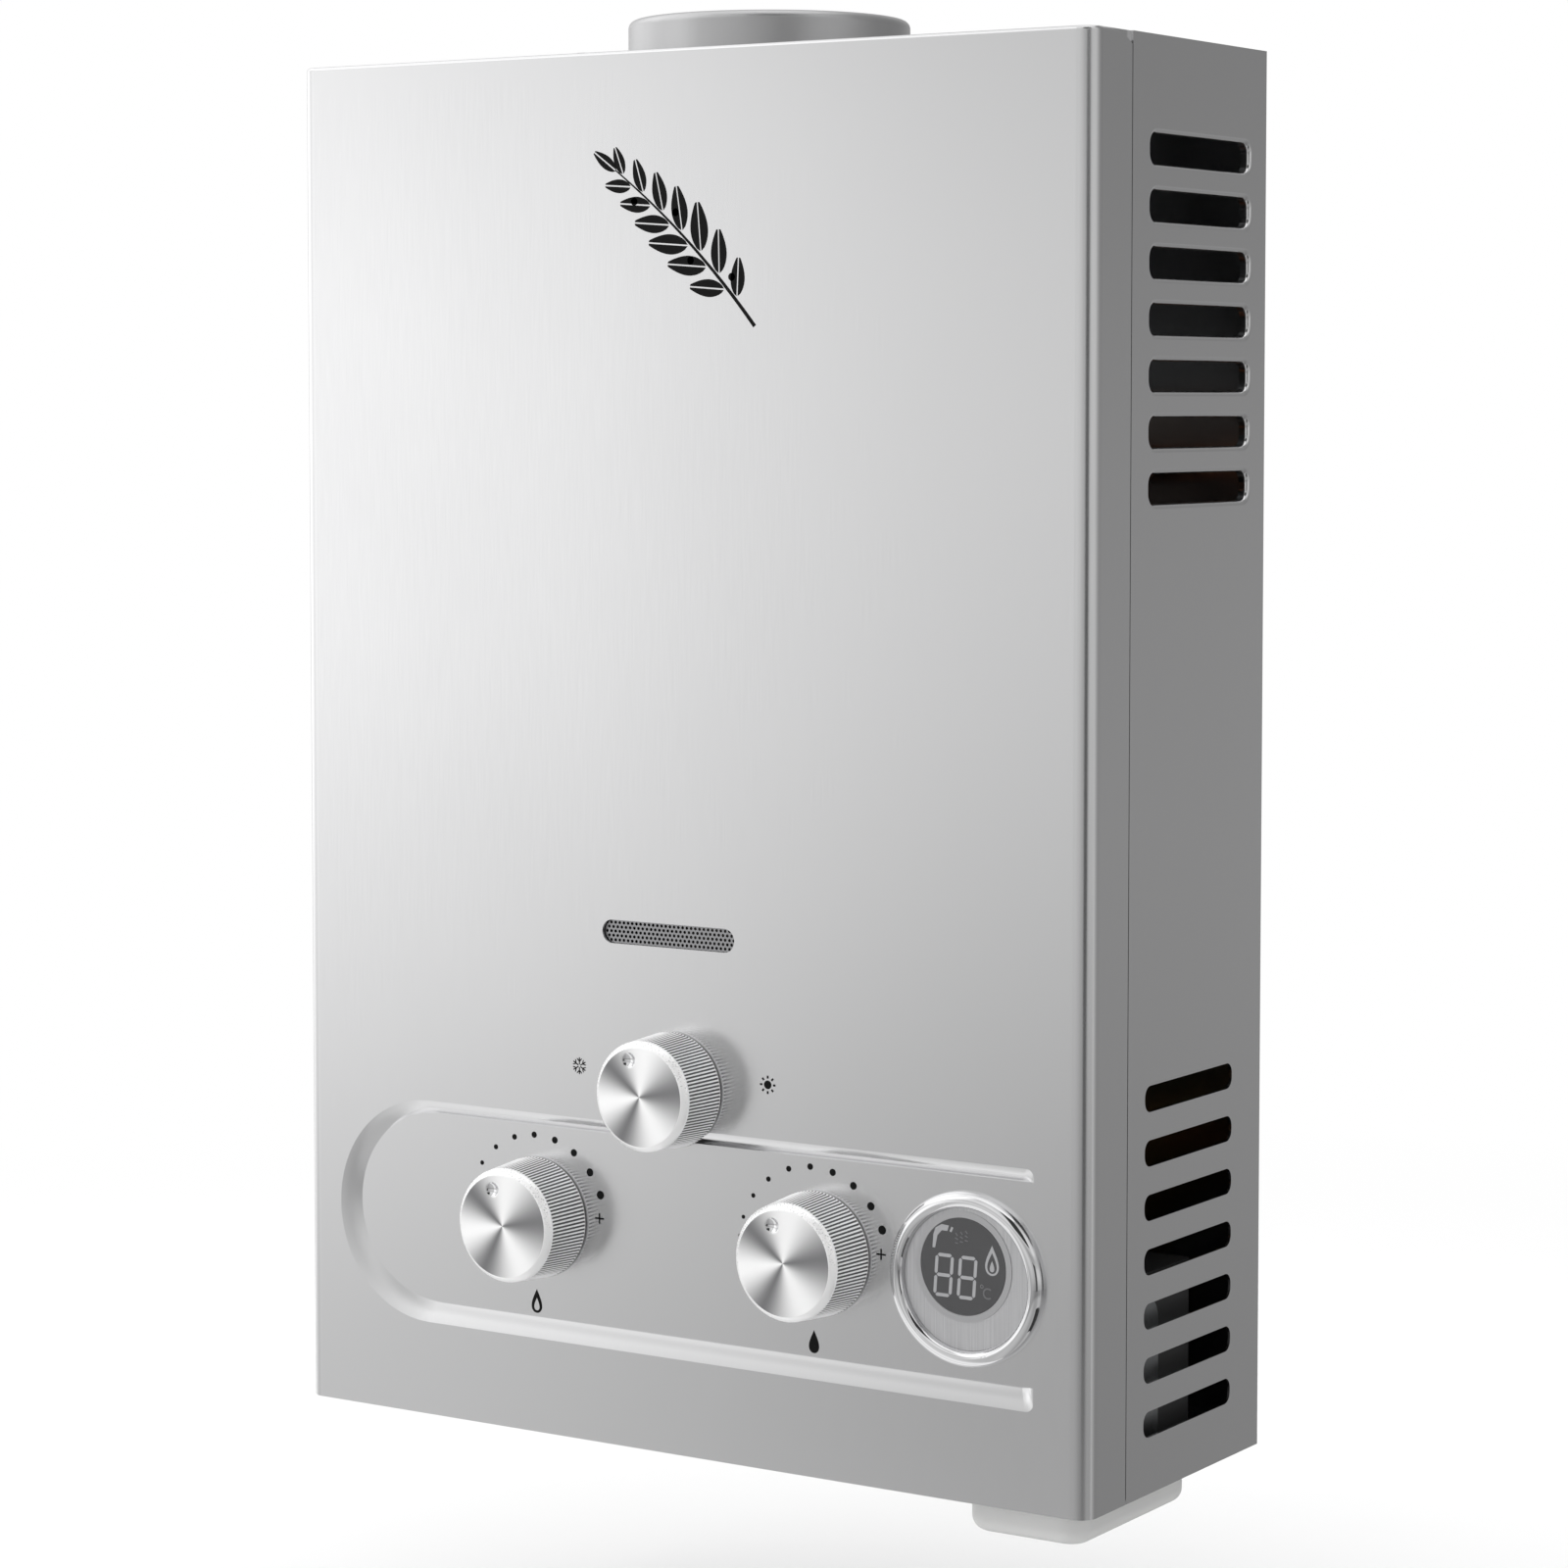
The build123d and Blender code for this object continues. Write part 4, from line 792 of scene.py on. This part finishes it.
def leafHalf(base, way, length, half, side):
    book = sprigBook
    across = leftOf(way) * side
    gap = book["gap"]
    steps = book["leafSteps"]
    loop = []
    for i in range(steps + 1):
        along = length * (book["innerFrom"] + book["innerRun"] * i / steps)
        loop.append(base + way * along + across * gap / 2)
    for i in range(steps - 1, 0, -1):
        s = i / steps
        swell = half * math.sin(math.pi * s ** book["swellSkew"]) ** book["swellFull"]
        along = length * (book["outerFrom"] + book["outerRun"] * s)
        loop.append(base + way * along + across * (swell + gap / 2))
    return [(p.x, p.y) for p in loop]


def sprigStem(book):
    left = []
    right = []
    for i in range(book["stemSteps"] + 1):
        t = i / book["stemSteps"]
        thick = book["stem"] * (book["stemFull"] - book["stemTaper"] * i / book["stemSteps"])
        left.append(sprigPoint(t) + leftOf(sprigWay(t)) * thick)
        right.append(sprigPoint(t) - leftOf(sprigWay(t)) * thick)
    return [(p.x, p.y) for p in left + right[::-1]]


def sprig(book):
    shapes = [[sprigStem(book)]]
    for i in range(book["leaves"]):
        t = book["firstLeaf"] + book["leafRun"] * i / (book["leaves"] - 1)
        side = 1 if i % 2 else -1
        lean = math.radians(side * book["lean"] * (book["leanFull"] - book["leanFade"] * t))
        w = sprigWay(t)
        c, s = math.cos(lean), math.sin(lean)
        way = Vector((w.x * c - w.y * s, w.x * s + w.y * c))
        fade = (book["shortLeaf"] - book["longLeaf"]) * abs(t - book["longAt"]) / book["longFade"]
        length = book["longLeaf"] + fade
        base = sprigPoint(t) + way * book["stalk"]
        for half in (-1, 1):
            shapes.append([leafHalf(base, way, length, length * book["width"], half)])
        if i % book["berryEvery"] == 1:
            at = sprigPoint(t) - leftOf(w) * side * book["berryOff"] + w * book["berryAlong"]
            shapes.append([disc(at.x, at.y, book["berry"], book["berryCount"])])
    tip = sprigPoint(book["tipAt"])
    length, width = book["shortLeaf"] * book["tipLength"], book["shortLeaf"] * book["tipWidth"]
    for half in (-1, 1):
        shapes.append([leafHalf(tip, sprigWay(1.0), length, width, half)])
    return shapes


onFront("leafSprig", sprig(sprigBook), *sprigBook["at"])
print("front prints laid")

# Display
displayBook = {
    "x": 106.0, "z": -148.0, "lensPlane": -113.4, "bezelProud": 3.6, "faceSunk": 2.5, "thick": 0.04,
    "slant": 0.07, "bar": 1.05, "gap": 0.22, "digitWide": 6.4, "digitTall": 13.2,
    "digitX": (-6.7, 1.5), "digitY": -3.2,
    "flame": (10.1, 3.0, 3.3, 4.6), "flameHollow": (10.1, 2.2, 2.3, 3.2), "flameCore": (10.1, 1.2, 1.1, 1.7),
    "tap": [(-10.6, 4.8), (-9.7, 4.8), (-8.9, 8.6), (-7.4, 10.3), (-5.4, 10.3), (-4.9, 12.0), (-7.4, 12.2),
            (-9.6, 10.9), (-10.3, 8.8)],
    "tapEnd": (0.35, -0.8, 0.8), "tapEndTurn": -25, "tapEndAt": (-4.0, 10.9),
    "dash": (0.18, -0.55, 0.55), "sprayColumns": 3, "sprayRows": 3, "sprayAt": (-2.2, 9.6), "dashTurn": 40,
    "rowTurn": 22, "columnStep": (1.7, 0.5), "rowDrop": 1.3,
    "unit": (8.7, -7.2, 1.5, 0.5, 50, 310), "degreeAt": (6.6, -5.2), "degreeOuter": 0.65, "degreeInner": 0.3,
    "degreeCount": 18, "ringOuter": 16.8, "ringInner": 14.85, "ringCount": 72, "ringThick": 0.2,
}


def segments(book, x, y):  # seven bars of one digit, leaning a little
    halfWide, halfTall = book["digitWide"] / 2, book["digitTall"] / 2
    h = book["bar"] / 2
    gap = book["gap"]
    top = halfTall - h
    loops = []
    for level in (-top, 0.0, top):
        run = halfWide - h - gap
        loops.append([
            (-run, level), (-run + h, level + h), (run - h, level + h),
            (run, level), (run - h, level - h), (-run + h, level - h),
        ])
    for side in (-1, 1):
        for low in (-top, 0.0):
            px = side * (halfWide - h)
            a, c = low + gap, low + top - gap
            loops.append([
                (px, a), (px + h, a + h), (px + h, c - h),
                (px, c), (px - h, c - h), (px - h, a + h),
            ])
    return [[[(x + px + book["slant"] * py, y + py) for px, py in loop]] for loop in loops]


def arcBand(x, y, radius, width, start, end, count=24):
    angles = [math.radians(start + (end - start) * i / count) for i in range(count + 1)]
    outer = [around(x, y, radius + width / 2, a) for a in angles]
    inner = [around(x, y, radius - width / 2, a) for a in reversed(angles)]
    return outer + inner


def sprayDashes(book):
    dash = bar(*book["dash"])
    x, y = book["sprayAt"]
    stepX, stepY = book["columnStep"]
    shapes = []
    for column in range(book["sprayColumns"]):
        for row in range(book["sprayRows"]):
            turn = book["dashTurn"] + book["rowTurn"] * row
            level = y - book["rowDrop"] * row + stepY * column
            shapes.append([turned(dash, turn, x + stepX * column, level)])
    return shapes


def onLens(name, shapes, look):
    book = displayBook
    lensFace = book["lensPlane"] - printBook["lift"]
    printPiece(name, shapes, book["x"], lensFace, book["z"], look, book["thick"])


def addDisplay(book):
    digits = [shape for x in book["digitX"] for shape in segments(book, x, book["digitY"])]
    onLens("displayDigits", digits, inkLight)
    flame = [drop(*book["flame"]), drop(*book["flameHollow"])]
    onLens("displayFlame", [flame, [drop(*book["flameCore"])]], inkLight)
    tapEnd = turned(bar(*book["tapEnd"]), book["tapEndTurn"], *book["tapEndAt"])
    onLens("displayTap", [[book["tap"]], [tapEnd]], inkLight)
    onLens("displaySpray", sprayDashes(book), inkDim)
    sizes = (book["degreeOuter"], book["degreeInner"])
    degree = [disc(*book["degreeAt"], radius, book["degreeCount"]) for radius in sizes]
    onLens("displayUnit", [[arcBand(*book["unit"])], degree], inkDim)
    ring = [disc(0, 0, radius, book["ringCount"]) for radius in (book["ringOuter"], book["ringInner"])]
    ringFinish = like(
        sheetFinish, sheetLook, "windowRing", (0.60, 0.60, 0.61), (0.52, 0.52, 0.53), rough=0.4, coat=0.0)
    faceTop = frontPlane - book["bezelProud"] + book["faceSunk"]
    thick = book["ringThick"]
    printPiece("windowRing", [ring], book["x"], faceTop, book["z"], ringFinish, thick)


addDisplay(displayBook)
print("display drawn")

# Stage: floor, light and camera
stageBook = {
    "floorSize": 8.0, "floorColor": (0.86, 0.86, 0.86), "floorShade": (0.8, 0.8, 0.8), "dust": 40.0,
    "dustTone": 0.1, "clearFrom": 0.35, "clearTo": 1.1, "drop": 0.08, "ambient": 0.75,
}


def floorFinish(book):
    skin = Finish("floorPale")
    clear = (skin.flatReach() - book["clearFrom"]) / (book["clearTo"] - book["clearFrom"])
    clear = clear.atLeast(0.0).atMost(1.0)
    dust = skin.noise(skin.spot(), book["dust"])
    tone = skin.mix(dust * book["dustTone"], book["floorColor"], book["floorShade"])
    noGloss = {"Roughness": 1.0, "Specular IOR Level": 0.0}
    matt = skin.node("BsdfPrincipled", None, {"Base Color": tone, **noGloss})
    white = skin.node("Emission", None, {"Color": (1, 1, 1), "Strength": 1.0})
    both = skin.node("MixShader", None, {0: skin.seen() * clear, 1: matt, 2: white})
    skin.node("OutputMaterial", None, {"Surface": both})
    return skin.owner


def addFloor(book):
    half = book["floorSize"] / 2
    low = cadBox[0].z - book["drop"]  # it hangs on a wall, a little above the floor
    corners = [(-half, -half, low), (half, -half, low), (half, half, low), (-half, half, low)]
    mesh = bpy.data.meshes.new("floor")
    mesh.from_pydata(corners, [], [(0, 1, 2, 3)])
    mesh.materials.append(floorFinish(book))
    floor = bpy.data.objects.new("floor", mesh)
    floor.visible_glossy = False
    bpy.context.scene.collection.objects.link(floor)


def addWorld(book):
    world = bpy.data.worlds.new("studio")
    bpy.context.scene.world = world
    sky = Finish("studio", world)
    strength = sky.seen() * (1.0 - book["ambient"]) + book["ambient"]
    light = sky.node("Background", None, {"Color": (1, 1, 1), "Strength": strength})
    sky.node("OutputWorld", None, {"Surface": light})


lampBook = {
    "keyLamp": {"at": (-1.7, -1.9, 0.75), "size": 1.8, "power": 18.0},
    "topLamp": {"at": (0.1, -0.3, 1.9), "size": 1.6, "power": 29.0},
}


def addLamp(name, book):
    data = bpy.data.lights.new(name, "AREA")
    data.shape = "SQUARE"
    data.size = book["size"]
    data.energy = book["power"]
    lamp = bpy.data.objects.new(name, data)
    bpy.context.scene.collection.objects.link(lamp)
    lamp.visible_glossy = False
    lamp.location = book["at"]
    lamp.rotation_euler = (-Vector(book["at"])).to_track_quat("-Z", "Y").to_euler()


# Grey sweeps that only reflections see: tone by bearing (0 is the front, + the right) and by rise
sweepBook = {
    "frontSweep": {
        "bearing": (-100, 95), "rise": (-88, 60),
        "byBearing": [(-100, 1.4), (-80, 1.4), (-68, 1.0), (-60, 1.05), (-48, 1.24), (-42, 1.28),
                      (-36, 1.08), (-29, 0.71), (-24, 0.67), (-12, 0.72), (8, 0.64), (26, 0.50),
                      (36, 0.46), (60, 0.50), (70, 0.64), (95, 0.62)],
        "byRise": [(-88, 0.75), (-40, 0.75), (-21, 0.74), (-17.5, 0.46), (-14, 0.50), (-12, 0.59),
                   (-8, 0.79), (-3, 0.95), (0, 1.0), (5, 0.97), (9, 0.82), (14, 0.74), (18, 0.86),
                   (22, 1.12), (40, 1.1), (60, 0.8)],
    },
    "sideSweep": {
        "bearing": (95, 185), "rise": (-88, 60),
        "byBearing": [(95, 0.62), (112, 0.40), (126, 0.275), (145, 0.275), (165, 0.31), (185, 0.45)],
        "byRise": [(-88, 0.3), (-60, 0.7), (-14, 0.9), (-6, 1.05), (0, 1.0), (6, 0.82), (60, 0.9)],
    },
    "backSweep": {
        "bearing": (-174, -100), "rise": (-88, 60),
        "byBearing": [(-174, 0.45), (-135, 0.60), (-115, 0.90), (-100, 1.4)],
        "byRise": [(-88, 0.5), (-40, 0.8), (0, 1.0), (60, 1.0)],
    },
    "darkCardEdge": {"bearing": (37, 57), "rise": (-15.5, 8), "tone": 0.09},
    "darkCardLow": {"bearing": (60, 104), "rise": (-54, -30), "tone": 0.04},
    "darkCardHigh": {"bearing": (14, 62), "rise": (26, 60), "tone": 0.04},
}
sweepShape = {"reach": 6.0, "cardReach": 5.4, "columns": 40, "rows": 20, "wrapAt": 174.5}


def sweepFinish(name, book):
    skin = Finish(name)
    if "tone" in book:
        color = (book["tone"],) * 3
    else:
        x, y, z = skin.parts()
        inDegrees = 180 / math.pi
        bearing = x.angleOver(0.0 - y) * inDegrees
        past = (0.0 - bearing).above(sweepShape["wrapAt"])
        bearing = bearing + 360.0 * past  # past the back, bearings run on
        rise = z.angleOver(skin.flatReach()) * inDegrees
        tone = skin.ramp(bearing, book["byBearing"]) * skin.ramp(rise, book["byRise"])
        color = skin.node("CombineColor", None, {"Red": tone, "Green": tone, "Blue": tone})
    shine = skin.node("Emission", None, {"Color": color, "Strength": 1.0})
    skin.node("OutputMaterial", None, {"Surface": shine})
    return skin.owner


def addSweep(name, book):
    low, high = book["bearing"]
    under, over = book["rise"]
    reach = sweepShape["cardReach" if "tone" in book else "reach"]
    columns, rows = sweepShape["columns"], sweepShape["rows"]
    points = []
    for i in range(columns + 1):
        for j in range(rows + 1):
            a = math.radians(low + (high - low) * i / columns)
            e = math.radians(under + (over - under) * j / rows)
            across = reach * math.cos(e)
            points.append((across * math.sin(a), -across * math.cos(a), reach * math.sin(e)))
    faces = []
    for i in range(columns):
        for j in range(rows):
            here = i * (rows + 1) + j
            there = here + rows + 1
            faces.append((here, there, there + 1, here + 1))
    mesh = bpy.data.meshes.new(name)
    mesh.from_pydata(points, [], faces)
    mesh.materials.append(sweepFinish(name, book))
    sweep = bpy.data.objects.new(name, mesh)
    bpy.context.scene.collection.objects.link(sweep)
    for ray in ("camera", "diffuse", "transmission", "volume_scatter", "shadow"):
        setattr(sweep, "visible_" + ray, False)


cameraBook = {
    "at": (0.73401, -1.18151, 0.11088), "azimuth": 32.935, "pitch": 3.519, "lens": 95.815, "sensor": 36.0,
    "shiftY": -0.08,
}


def addCamera(book):
    data = bpy.data.cameras.new("camera")
    data.sensor_width = book["sensor"]
    data.lens = book["lens"]
    data.shift_y = book["shiftY"]
    camera = bpy.data.objects.new("camera", data)
    bpy.context.scene.collection.objects.link(camera)
    camera.location = book["at"]
    camera.rotation_euler = (math.radians(90 - book["pitch"]), 0, math.radians(book["azimuth"]))
    bpy.context.scene.camera = camera


addFloor(stageBook)
addWorld(stageBook)
for name, book in lampBook.items():
    addLamp(name, book)
for name, book in sweepBook.items():
    addSweep(name, book)
addCamera(cameraBook)
bpy.context.scene.view_settings.view_transform = "Standard"
print("stage set")

bpy.context.view_layer.update()
